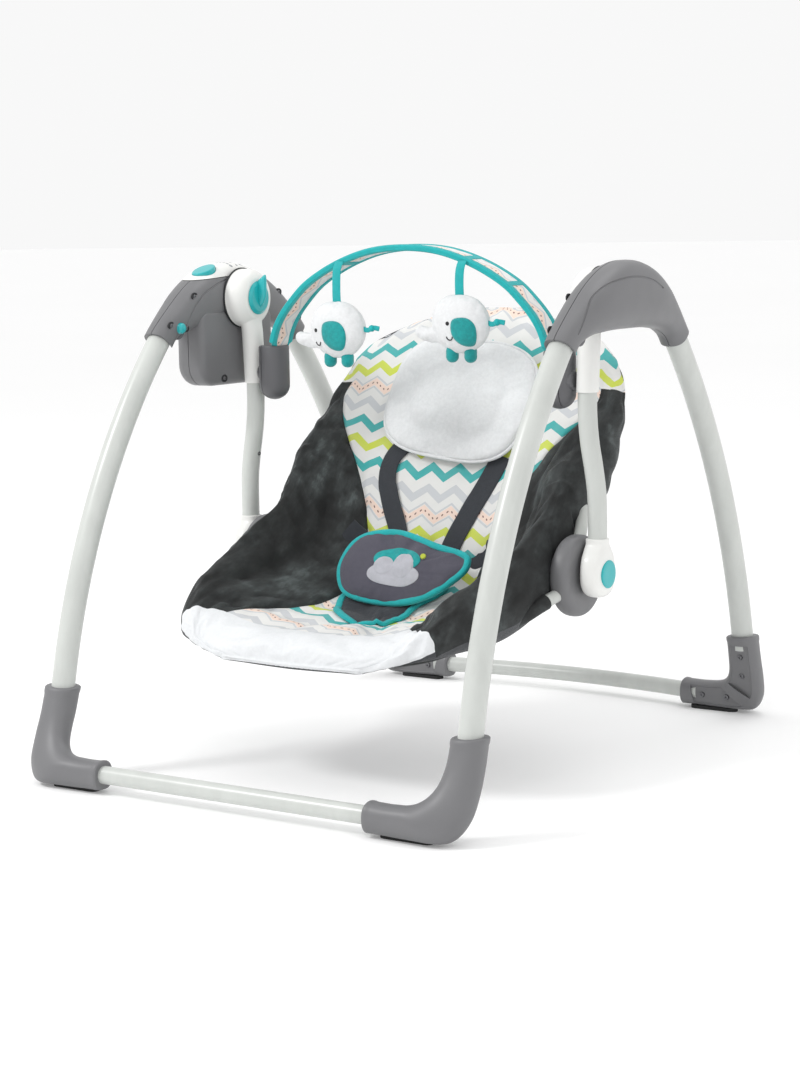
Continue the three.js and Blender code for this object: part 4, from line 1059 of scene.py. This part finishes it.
def seat_tub():
    rows = [i / ROW_STEPS for i in range((len(TUB) - 1) * ROW_STEPS + 1)]
    points, cloth, folds, zones, sewn = [], [], [], [], set()
    half_count = sum(COLUMNS.values()) + 1
    around = 2 * half_count - 2
    ridge = COLUMNS["liner"] + COLUMNS["side"]
    for row in rows:
        half = [tub_half(warped_row(row, k, ridge))[k] for k in range(half_count)]
        arcs = [0.0]
        for (_, a), (_, b) in zip(half, half[1:]):
            arcs.append(arcs[-1] + (b - a).length)
        v = tub_arc[int(row)] if row == int(row) else table_at(list(enumerate(tub_arc)), row)
        section = []
        for k, ((zone, p), arc) in enumerate(zip(half, arcs)):
            before, after = half[max(0, k - 1)][1], half[min(half_count - 1, k + 1)][1]
            along = after - before
            outward = Vector((along.z, 0, -along.x)) if zone != "liner" else Vector((0, 0, 0))
            _, up, normal, *_ = tub_frame(row)
            if zone in ("liner", "side"):
                slope = (after - before).normalized()
                out = (normal if row > 6 or zone == "side" else Vector((0, 0, 1)))
                out = (out - slope * out.dot(slope)).normalized()
                if zone == "side":
                    out = Vector((-slope.z, 0, slope.x)).normalized() * 0.8 + out * 0.2
            else:
                out = outward.normalized()
            u = p.x if k <= ridge else half[ridge][1].x + arc - arcs[ridge]
            section.append((zone, p, out, arc, u, v))
        full = section + section[-2:0:-1]
        for k, (zone, p, out, arc, u, v) in enumerate(full):
            sign = 1 if k < half_count else -1
            on_seam = k in (COLUMNS["liner"], around - COLUMNS["liner"])
            lift = 0.0 if on_seam else tub_wrinkle(zone, row, arc * sign + (400 if sign < 0 else 0))
            lift += fold_line(zone, row, (min(k, around - k) - COLUMNS["liner"]) / COLUMNS["side"])
            point = Vector((p.x * sign, p.y, p.z)) + Vector((out.x * sign, out.y, out.z)) * lift
            if on_seam and BAND_ROW <= row <= WRAP_ROW:
                point -= Vector((0, 0, 0.8))
                sewn.add(len(points))
            edge = COLUMNS["liner"] + COLUMNS["side"] + COLUMNS["roll"] + COLUMNS["flank"]
            if zone == "under" or min(k, around - k) >= edge:
                sewn.add(len(points))
            if row in (BAND_ROW, WRAP_ROW) and (zone != "liner" or row == BAND_ROW):
                sewn.add(len(points))
            points.append(point)
            folds.append(lift)
            cloth.append((u * sign, v, abs(arc - arcs[COLUMNS["liner"]])))
            zones.append(zone)
    faces, kinds = [], []
    for r in range(len(rows) - 1):
        for k in range(around):
            faces.append((r * around + k, r * around + (k + 1) % around,
                          (r + 1) * around + (k + 1) % around, (r + 1) * around + k))
            mirrored = k if k < half_count - 1 else around - 1 - k
            below = (mirrored - ridge - COLUMNS["roll"]) / COLUMNS["flank"]
            kinds.append(cover_of(zones[mirrored], rows[r], below))
    first_end, last_end = [], []
    for end, out_way, store in ((0, -1, first_end), (len(rows) - 1, 1, last_end)):
        base = [points[end * around + k] for k in range(around)]
        middle = sum(base, Vector()) / around
        thick_way = (base[0] - base[half_count - 1]).normalized()
        outward = Vector((0, thick_way.z, -thick_way.y)) * out_way
        if outward.y * out_way < 0:
            outward = -outward
        for size, push in ((0.72, 2.0), (0.3, 3.0)):
            store.append(len(points))
            for k, p in enumerate(base):
                offset = p - middle
                height = offset.dot(thick_way)
                points.append(p - thick_way * height * (1 - size) + outward * push)
                folds.append(0.0)
                cloth.append(cloth[end * around + k])
                sewn.add(len(points) - 1)
        loops = [end * around] + store
        for a, b in zip(loops, loops[1:]):
            for k in range(around):
                j = (k + 1) % around
                faces.append((a + k, a + j, b + j, b + k))
                zone = zones[k if k < half_count - 1 else j]
                kinds.append(cover_of(zone, rows[end] - (0.01 if end == 0 else 0)))
        faces.append(tuple(range(loops[-1], loops[-1] + around)))
        kinds.append(cover_of("side", rows[end]))
    sewn |= {k for k in range(around)} | {(len(rows) - 1) * around + k for k in range(around)}
    tub = new_object("seat_tub_cover", points, faces, 60)
    for material in (velour_cloth, liner_print, white_velour, lining):
        tub.data.materials.append(material)
    for face, kind in zip(tub.data.polygons, kinds):
        face.material_index = ("velour", "print", "white", "lining").index(kind)
    cloth_coordinates(tub, cloth)
    # Fold heights, which the velour paints lighter on raised folds as highlight and darker in grooves as shade.
    tub.data.attributes.new("fold", "FLOAT", "POINT").data.foreach_set("value", folds)
    stuff(tub, sorted(sewn), 3.0, 0.035, 5.5)
    return tub


def cover_of(zone, row, below=0.0):
    """The cloth of a patch of the tub; below is how far down its flank it is, from 0 to 1."""
    if zone == "under" or below > (0.3 if row < BAND_ROW - 0.01 else 0.66):
        return "lining"
    if row < BAND_ROW - 0.01:
        return "white"
    if row >= WRAP_ROW - 0.01 or zone == "liner":
        return "print"
    return "velour"


liner_print = zigzag_print("liner_print", 75.8)
tub = seat_tub()
subdivide(tub)
place(tub, "seat", None, "velour", "seat_tub")
seat_surface = surface_of(tub)


def above_seat(x, row, height):
    """A point over the finished seat at x and row, with the direction away from the seat."""
    centre, up, _, w, *_ = tub_frame(row)
    ahead, behind = tub_frame(row + 0.05)[0], tub_frame(row - 0.05)[0]
    along = (ahead - behind).normalized()
    away = Vector((0, -along.z, along.y))
    rise = (abs(x) / w) ** CUP
    guess = centre + Vector((x, 0, 0)) + up * rise
    point, _ = drop(seat_surface, guess + away * 30, -away, 0)
    return (point or guess) + away * height, away


def webbing_strap(name, stations, width=25, height=1.7, node=None):
    """Flat webbing over the seat through [x, row] stations."""
    course = [above_seat(x, row, height) for x, row in smooth(stations, 6)]
    points = [p for p, _ in course]
    rings, travelled, cloth = [], 0.0, []
    for i, (p, away) in enumerate(course):
        along = (points[min(i + 1, len(points) - 1)] - points[max(i - 1, 0)]).normalized()
        side = along.cross(away).normalized()
        face = side.cross(along).normalized()
        if i:
            travelled += (p - points[i - 1]).length
        rings.append(ring(p, side * width / 2, face * 0.85, 24, 5))
        cloth += [((q - p).dot(side), travelled, 0) for q in rings[-1]]
    strap = skin(name, rings, 50)
    cloth_coordinates(strap, cloth)
    return place(strap, "seat", webbing, "webbing", *([node] if node else []))


webbing_strap("harness_strap_left", [(-58, 10.15), (-70, 9.85), (-75, 9.5), (-73, 9.1), (-67, 8.8), (-58, 8.4),
                                     (-45, 7.9), (-36, 7.4)], 23, node="shoulder_strap_left")
webbing_strap("harness_strap_right", [(70, 9.9), (64, 9.5), (54, 9), (46, 8.6), (40, 8.2), (34, 7.8), (28, 7.3)],
              node="shoulder_strap_right")
webbing_strap("harness_belt", [(-104, 7.5), (-80, 7.3), (-45, 7.1), (0, 7), (45, 7.1), (80, 7.3), (104, 7.5)],
              node="waist_belt")


# ------------------------------------------------------------------ head pillow
PILLOW = dict(centre=Vector((3, 92, 385)), across=Vector((93, -5, -10)), up=Vector((9, 31, 64)))


def cushion(name, centre, across, up, outline, rows, welt_row, inner=0):
    """A stuffed shape from rings (size, lift) over an outline of (a, b) shares of across and up."""
    front = across.cross(up).normalized()
    points, cloth = [], []
    count = len(outline)
    for size, lift in rows:
        for a, b in outline:
            points.append(centre + across * a * size + up * b * size + front * lift)
            cloth.append((a * size * across.length, b * size * up.length, lift))
    faces = []
    for r in range(len(rows) - 1):
        for i in range(count):
            j = (i + 1) % count
            faces.append((r * count + i, r * count + j, (r + 1) * count + j, (r + 1) * count + i))
    for lift, base in ((rows[0][1], 0), (rows[-1][1], (len(rows) - 1) * count)):
        points.append(centre + front * lift)
        cloth.append((0, 0, lift))
        faces += [(base + i, base + (i + 1) % count, len(points) - 1) for i in range(count)]
    obj = new_object(name, points, faces, 60)
    cloth_coordinates(obj, cloth)
    sewn = [welt_row * count + i for i in range(count)]
    if inner:
        sewn += [inner * count + i for i in range(count)]
    return obj, sewn, front


def welt(name, obj_points, radius, body, material):
    """Piping round a closed line of points in mm."""
    count = len(obj_points)
    rings = []
    side = None
    for i in range(count + 1):
        p = obj_points[i % count]
        tangent = (obj_points[(i + 1) % count] - obj_points[(i - 1) % count]).normalized()
        side = tangent.orthogonal() if side is None else side - tangent * side.dot(tangent)
        side.normalize()
        rings.append(ring(p, side * radius, tangent.cross(side) * radius, 10))
    piping = skin(name, rings, 70)
    strip_coordinates(piping, 10, 3.0)
    return place(piping, body, material)


pillow_outline = oval(1, 1, 96, 3.2)
pillow_rows = [(0.2, -6.2), (0.45, -6.2), (0.7, -6), (0.88, -5.2), (0.97, -3), (1, 0), (0.985, 3.2),
               (0.93, 6.2), (0.85, 8.2), (0.77, 9.2), (0.7, 8.8), (0.64, 7), (0.58, 8.6), (0.48, 10.0),
               (0.36, 10.6), (0.22, 10.8), (0.1, 10.9)]
pillow, sewn, pillow_front = cushion("head_pillow_cover", PILLOW["centre"], PILLOW["across"],
                                     PILLOW["up"], pillow_outline, pillow_rows, 5, 11)
stuff(pillow, sewn, 3.0, 0.03, 3.5)
subdivide(pillow)
place(pillow, "seat", white_plush, "pale_cloth", "head_pillow")
welt("head_pillow_piping", [PILLOW["centre"] + PILLOW["across"] * a * 1.012 + PILLOW["up"] * b * 1.012
                            for a, b in pillow_outline], 2.1, "seat", white_plush)

# ------------------------------------------------------------------ crotch pad
PAD_OUTLINE = [(-25, 45), (-55, 38), (-72, 22), (-78, -6), (-64, -31), (-32, -40), (15, -40),
               (53, -26), (84, 0), (90, 15), (82, 24), (44, 32), (4, 43)]
PAD_CENTRE, PAD_ACROSS, PAD_UP = Vector((0, -38, 205)), Vector((1, 0, 0)), Vector((0, 0.475, 0.88))
closed_outline = PAD_OUTLINE[-1:] + PAD_OUTLINE + PAD_OUTLINE[:2]
pad_outline = [catmull(closed_outline, 1 + i / 8) for i in range(8 * len(PAD_OUTLINE))]
pad_rows = [(0.15, -5.6), (0.4, -5.6), (0.65, -5.4), (0.85, -4.8), (0.95, -2.6), (0.985, 0), (0.96, 2.4),
            (0.86, 4.6), (0.7, 5.8), (0.52, 6.3), (0.34, 6.5), (0.16, 6.6)]
pad, sewn, pad_front = cushion("crotch_pad_cover", PAD_CENTRE, PAD_ACROSS, PAD_UP, pad_outline,
                               pad_rows, 5)
for v in pad.data.vertices:
    offset = v.co / MM - PAD_CENTRE
    ripple = 0.7 * noise.noise(Vector((offset.x * 0.08, offset.z * 0.05, 2.5)))
    v.co += pad_front * ripple * MM
stuff(pad, sewn, 2.5, 0.04, 3.0)
subdivide(pad)
place(pad, "seat", purple_cloth, "purple_cloth", "crotch_pad")


def binding(name, centreline, width, thick, normal, body, closed=True):
    """A folded tape over an edge: a flat oval swept along a line of points in mm."""
    count = len(centreline)
    rings, cloth, travelled = [], [], 0.0
    last = count + 1 if closed else count
    for i in range(last):
        p = centreline[i % count]
        if closed:
            ahead, behind = centreline[(i + 1) % count], centreline[(i - 1) % count]
        else:
            ahead, behind = centreline[min(i + 1, count - 1)], centreline[max(i - 1, 0)]
        tangent = (ahead - behind).normalized()
        side = tangent.cross(normal).normalized()
        up = side.cross(tangent).normalized()
        if i:
            travelled += (p - centreline[(i - 1) % count]).length
        rings.append(ring(p, side * width / 2, up * thick / 2, 16, 2.6))
        cloth += [((q - p).dot(side) * 1.0, travelled, 0) for q in rings[-1]]
    tape = skin(name, rings, 60)
    cloth_coordinates(tape, cloth)
    return place(tape, body, teal_binding)


pad_edge = [PAD_CENTRE + PAD_ACROSS * a * 0.962 + PAD_UP * b * 0.945 + pad_front * 0.4
            for a, b in pad_outline]
binding("crotch_pad_binding", pad_edge, 7.6, 7.4, pad_front, "seat")

pad_surface = surface_of(pad)
cloud = []
for cx, cy, r, start, stop in ((-30, -8, 11, 95, 265), (-10, -14, 9, 215, 300), (14, -12, 12, 235, 360),
                               (24, 2, 11, -40, 95), (4, 10, 13, 20, 150), (-18, 6, 11, 60, 170)):
    for step in range(7):
        angle = math.radians(start + (stop - start) * step / 6)
        cloud.append((cx + r * math.cos(angle), cy + r * math.sin(angle)))
cloud_origin = PAD_CENTRE + PAD_ACROSS * 2
patches = [
    ("pad_patch_back", oval(30, 14, 40, 2.0, (-2, 10)), teal_felt, 0.7),
    ("pad_patch_cloud", oval(33, 13, 48, 2.2, (-2, -8)), patch_grey, 1.1),
    ("pad_patch_puff_left", oval(12, 12, 32, 2.0, (-17, 1)), patch_grey, 1.3),
    ("pad_patch_puff_right", oval(15, 15, 32, 2.0, (7, 3)), patch_grey, 1.5),
    ("pad_patch_dot", oval(3.2, 3.2, 20, 2.0, (30, 16)), patch_lime, 1.6),
]
for name, outline, material, lift in patches:
    cx = sum(x for x, _ in outline) / len(outline)
    cy = sum(y for _, y in outline) / len(outline)
    local = [(x - cx, y - cy) for x, y in outline]
    piece = patch(name, pad_surface, cloud_origin + PAD_ACROSS * cx + PAD_UP * cy, PAD_ACROSS,
                  PAD_UP, local, lift)
    place(piece, "seat", material)

# The flap that joins the pad to the seat: a charcoal tongue on the liner, with a taped edge.
FLAP = [(44, -6), (30, -42), (19, -72), (7, -92), (-14, -101), (-38, -96), (-56, -80), (-66, -56),
        (-66, -30), (-50, -12), (-4, -4)]
FLAP_MIDDLE = Vector((-12, -52, 170))
flap_closed = FLAP[-1:] + FLAP + FLAP[:2]
flap_outline = [catmull(flap_closed, 1 + i / 6) for i in range(6 * len(FLAP))]
local = [(x - FLAP_MIDDLE.x, y - FLAP_MIDDLE.y) for x, y in flap_outline]
flap = patch("crotch_flap", seat_surface, FLAP_MIDDLE, UNIT_X, UNIT_Y, local, 4.2, 8)
place(flap, "seat", webbing)
flap_edge = []
for x, y in flap_outline[:6 * 9]:
    point, _ = drop(seat_surface, Vector((x * 0.98, y, 260)), -UNIT_Z, 3.0)
    flap_edge.append(point)
binding("crotch_flap_tape", flap_edge, 8, 5.4, UNIT_Z, "seat", False)

# ------------------------------------------------------------------ seat tubes
SEAT_TUBES = {
    "front": [(201, -36, 192), (194, -62, 184), (182, -100, 171), (162, -152, 160),
              (138, -198, 149), (84, -220, 142), (0, -224, 140)],
    "back": [(200, 14, 246), (193, 33, 266), (182, 54, 288), (179, 82, 320), (174, 114, 360),
             (163, 138, 398), (134, 157, 433), (68, 170, 460), (0, 173, 466)],
}
for end, half in SEAT_TUBES.items():
    both = half + [(-x, y, z) for x, y, z in half[-2::-1]]
    path = [Vector(p) for p in smooth(both, 8)]
    place(tube(f"seat_frame_{end}", path, 7, 28), "seat", tube_paint, "painted_tube", f"seat_tube_{end}")
    reach, casing = (197, velour_cloth) if end == "front" else (180, lining)
    covered = [p for p in path if abs(p.x) < reach]
    place(tube(f"seat_tube_casing_{end}", covered, 8.4, 28), "seat", casing, "velour")

# ------------------------------------------------------------------ toy bar
ARCH_BAR = [(181, 436), (176, 460), (166, 480), (149, 500), (126, 520), (88, 540), (45, 553.5), (0, 557.5)]
ARCH_BAR += [(-x, z) for x, z in ARCH_BAR[-2::-1]]
POD = dict(x=187.3, y=-4, half=16.8, z0=386, z1=448)
arch_line = [Vector((x, 0, z)) for x, z in smooth(ARCH_BAR, 10)]


def arch_frame(i):
    p = arch_line[i]
    along = (arch_line[min(i + 1, len(arch_line) - 1)] - arch_line[max(i - 1, 0)]).normalized()
    return p, along, Vector((-along.z, 0, along.x)) * (1 if along.x < 0 else -1)


def arch_strip(name, y_low, y_high, thick, power, material, first=0, last=None, lift=0.0):
    """A band round part of the arch between two depths; narrow where it enters the pods."""
    rings, cloth, travelled = [], [], 0.0
    last = len(arch_line) - 1 if last is None else last
    for i in range(first, last + 1):
        p, along, out = arch_frame(i)
        travelled += (arch_line[i] - arch_line[i - 1]).length if i > first else 0.0
        tight = max(0.0, min(1.0, (450.5 - p.z) / 1.5))
        low = y_low + (-14 - y_low) * tight if y_low < -14 else y_low
        high = y_high + (6 - y_high) * tight if y_high > 6 else y_high
        if high - low < 2:
            high = low + 2
        centre = p + Vector((0, (low + high) / 2, 0)) + out * lift
        rings.append(ring(centre, Vector((0, (high - low) / 2, 0)), out * thick / 2, 32, power))
        cloth += [(travelled, q.y * 1.0, 0) for q in rings[-1]]
    strip = skin(name, rings, 60)
    cloth_coordinates(strip, cloth)
    return place(strip, "toy_bar", material)


arch_print = zigzag_print("arch_print", -30)
sleeve = arch_strip("toy_arch_sleeve", -20, 14, 5.4, 7, arch_print)
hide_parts("toy_arch")
arch_strip("toy_arch_binding_front", -22.5, -13, 7.4, 3, teal_binding)
arch_strip("toy_arch_binding_back", 7, 16.5, 7.4, 3, teal_binding)


def nearest_on_arch(x):
    return min(range(len(arch_line)), key=lambda i: abs(arch_line[i].x - x))


for name, x in (("left", -80), ("right", 80), ("end", 132)):
    middle = nearest_on_arch(x)
    arch_strip(f"toy_arch_loop_{name}", -21.5, 15.5, 6.8, 5, teal_binding, middle - 1, middle + 1)

for side, sx in SIDES:
    rows = [(POD["half"] * s, POD["z0"] + POD["half"] * (1 - math.sqrt(1 - s * s)))
            for s in (0.06, 0.3, 0.52, 0.7, 0.84, 0.93, 0.985)]
    rows += [(POD["half"], POD["z0"] + 19), (POD["half"], POD["z0"] + 34), (POD["half"], POD["z1"] - 2),
             (POD["half"] - 0.7, POD["z1"] - 0.6), (POD["half"] - 2, POD["z1"])]
    pod = skin(f"toy_pod_{side}_shell", [
        ring(Vector((sx * POD["x"], POD["y"], z)), Vector((size, 0, 0)), Vector((0, size, 0)), 56, 2.3)
        for size, z in rows])
    boss = turned(f"toy_pod_{side}_boss", [(199, 0.5), (199, 10.5), (203.6, 10.2), (205, 9.4), (205.6, 8), (205.6, 0.5)],
                  -4, 417, sx, 3, 40)
    join_x = POD["x"] + 7
    keep_in = prism("keep_in", [(-60, 370), (60, 370), (60, 470), (-60, 470)],
                    *sorted((sx * 150, sx * (join_x - 0.4))))
    cap = copy_of(pod, f"toy_pod_{side}_cap")
    keep_out = prism("keep_out", [(-60, 370), (60, 370), (60, 470), (-60, 470)],
                     *sorted((sx * (join_x + 0.4), sx * 240)))
    boolean(pod, keep_in, "INTERSECT")
    boolean(cap, keep_out, "INTERSECT")
    discard(keep_in, keep_out)
    for half in (pod, cap):
        shade(half, 35)
        bevel(half, 0.5, 2, 50)
    place(cap, "toy_bar", dark_plastic, "dark_plastic")
    place(pod, "toy_bar", dark_plastic, "dark_plastic", f"toy_pod_{side}")
    place(boss, "toy_bar", dark_plastic, "dark_plastic")

# ------------------------------------------------------------------ plush toys
TOY_X, TOY_Y, RIBBON_TOP = 80, -30, 538.5
BODY_Z = {"left": 468, "right": 476}


def ellipsoid(centre, a, b, c):
    bm = bmesh.new()
    bmesh.ops.create_uvsphere(bm, u_segments=28, v_segments=18, radius=1.0)
    bmesh.ops.scale(bm, vec=Vector((a, b, c)) * MM, verts=bm.verts)
    bmesh.ops.translate(bm, vec=centre * MM, verts=bm.verts)
    mesh = bpy.data.meshes.new("ellipsoid")
    bm.to_mesh(mesh)
    bm.free()
    return mesh


def merged(name, meshes, voxel, smoothing):
    """Soft union of closed shapes."""
    bm = bmesh.new()
    for mesh in meshes:
        bm.from_mesh(mesh)
        bpy.data.meshes.remove(mesh)
    mesh = bpy.data.meshes.new(name)
    bm.to_mesh(mesh)
    bm.free()
    obj = bpy.data.objects.new(name, mesh)
    scene.collection.objects.link(obj)
    remesh = obj.modifiers.new("remesh", "REMESH")
    remesh.mode, remesh.voxel_size = "VOXEL", voxel * MM
    softer = obj.modifiers.new("smooth", "SMOOTH")
    softer.factor, softer.iterations = 0.5, smoothing
    apply_modifiers(obj)
    shade(obj, 80)
    return obj


# Where the ear, the eye and the smile sit from the middle of each toy, and the ear's size.
FACES = {
    "left": dict(ear=(5.5, -5), eye=(-18.5, 0), smile=(-16.5, -13), size=1.12),
    "right": dict(ear=(13, -7), eye=(-5, 1), smile=(-3.5, -13), size=1.05),
}
EAR = [(-12, 10), (-4, 13.5), (6, 12.5), (12.5, 6), (13.5, -4), (10, -13), (3, -15.5), (-6, -12), (-12.5, -3)]


def toy_body(name, x, z):
    shapes = [ellipsoid(Vector((x + 2, TOY_Y, z)), 34.5, 17.5, 31.5),
              ellipsoid(Vector((x - 6, TOY_Y, z + 4)), 27, 17, 27.5)]
    for i in range(8):
        t = i / 7
        centre = Vector((x - 24 - 26 * t, TOY_Y, z - 11 - 5 * t + 7 * t * t))
        shapes.append(ellipsoid(centre, 10 - 3 * t, 9 - 2 * t, 10 - 2.8 * t))
    return merged(name, shapes, 2.4, 8)


def toy_face(side, x, z, body_name, surface):
    face = FACES[side]
    ear_closed = EAR[-1:] + EAR + EAR[:2]
    outline = [catmull(ear_closed, 1 + i / 4) for i in range(4 * len(EAR))]
    outline = [(a * face["size"], b * face["size"]) for a, b in outline]
    origin = Vector((x + face["ear"][0], TOY_Y, z + face["ear"][1]))
    place(patch(f"toy_{side}_ear", surface, origin, UNIT_X, UNIT_Z, outline, 1.9), body_name, teal_felt)
    origin = Vector((x + face["eye"][0], TOY_Y, z + face["eye"][1]))
    eye = patch(f"toy_{side}_eye", surface, origin, UNIT_X, UNIT_Z, oval(2.2, 2.2, 20), 0.9, 3)
    place(eye, body_name, thread_dark)
    smile = []
    for i in range(9):
        angle = math.radians(180 + 180 * i / 8)
        start = Vector((x + face["smile"][0] + 3.8 * math.cos(angle), -90,
                        z + face["smile"][1] + 3.8 * math.sin(angle)))
        smile.append(drop(surface, start, Vector((0, 1, 0)), 0.2)[0])
    mouth = tube(f"toy_{side}_smile", smile, 0.7, 8)
    strip_coordinates(mouth, 8, 1.0)
    place(mouth, body_name, thread_dark)


for side, sx in SIDES:
    x, z, body_name = sx * TOY_X, BODY_Z[side], f"toy_{side}"
    toy = toy_body(f"toy_{side}_plush", x, z)
    sewn = [v.index for v in toy.data.vertices if abs(v.co.y / MM - TOY_Y) < 1.3]
    stuff(toy, sewn, 3.0, 0.03, 2.0, 0.2)
    subdivide(toy)
    place(toy, body_name, white_plush, "pale_cloth", f"elephant_toy_{side}")
    toy_face(side, x, z, body_name, surface_of(toy))
    for k, dx in enumerate((-10, 13)):
        shapes = [ellipsoid(Vector((x + dx, TOY_Y, z - 30)), 7, 8, 8),
                  ellipsoid(Vector((x + dx, TOY_Y, z - 35)), 7, 8, 7)]
        leg = merged(f"toy_{side}_foot_{k + 1}", shapes, 1.6, 4)
        subdivide(leg)
        place(leg, body_name, teal_felt)
    arch_z = arch_line[nearest_on_arch(x)].z
    hang = [(x, TOY_Y, z + 27), (x, TOY_Y - 0.6, z + 42), (x, TOY_Y + 0.4, RIBBON_TOP - 8),
            (x, TOY_Y + 3.4, RIBBON_TOP), (x, TOY_Y + 6.8, arch_z - 0.5)]
    line = [Vector(p) for p in smooth(hang, 5)]
    binding(f"toy_{side}_ribbon", line, 11, 1.6, Vector((0, -1, 0.02)), body_name, False)
    tail = [(x + 33, TOY_Y, z + 2), (x + 41, TOY_Y - 1, z), (x + 48, TOY_Y, z + 2.5), (x + 55, TOY_Y + 1, z + 1.5)]
    line = [Vector(p) for p in smooth(tail, 4)]
    binding(f"toy_{side}_tail", line, 5.5, 2.0, Vector((0, -1, 0)), body_name, False)
    knot = merged(f"toy_{side}_tail_knot", [ellipsoid(Vector((x + 46, TOY_Y, z + 2)), 4, 3.4, 4)], 1.2, 2)
    cloth_coordinates(knot, [tuple(v.co / MM) for v in knot.data.vertices])
    place(knot, body_name, teal_binding)
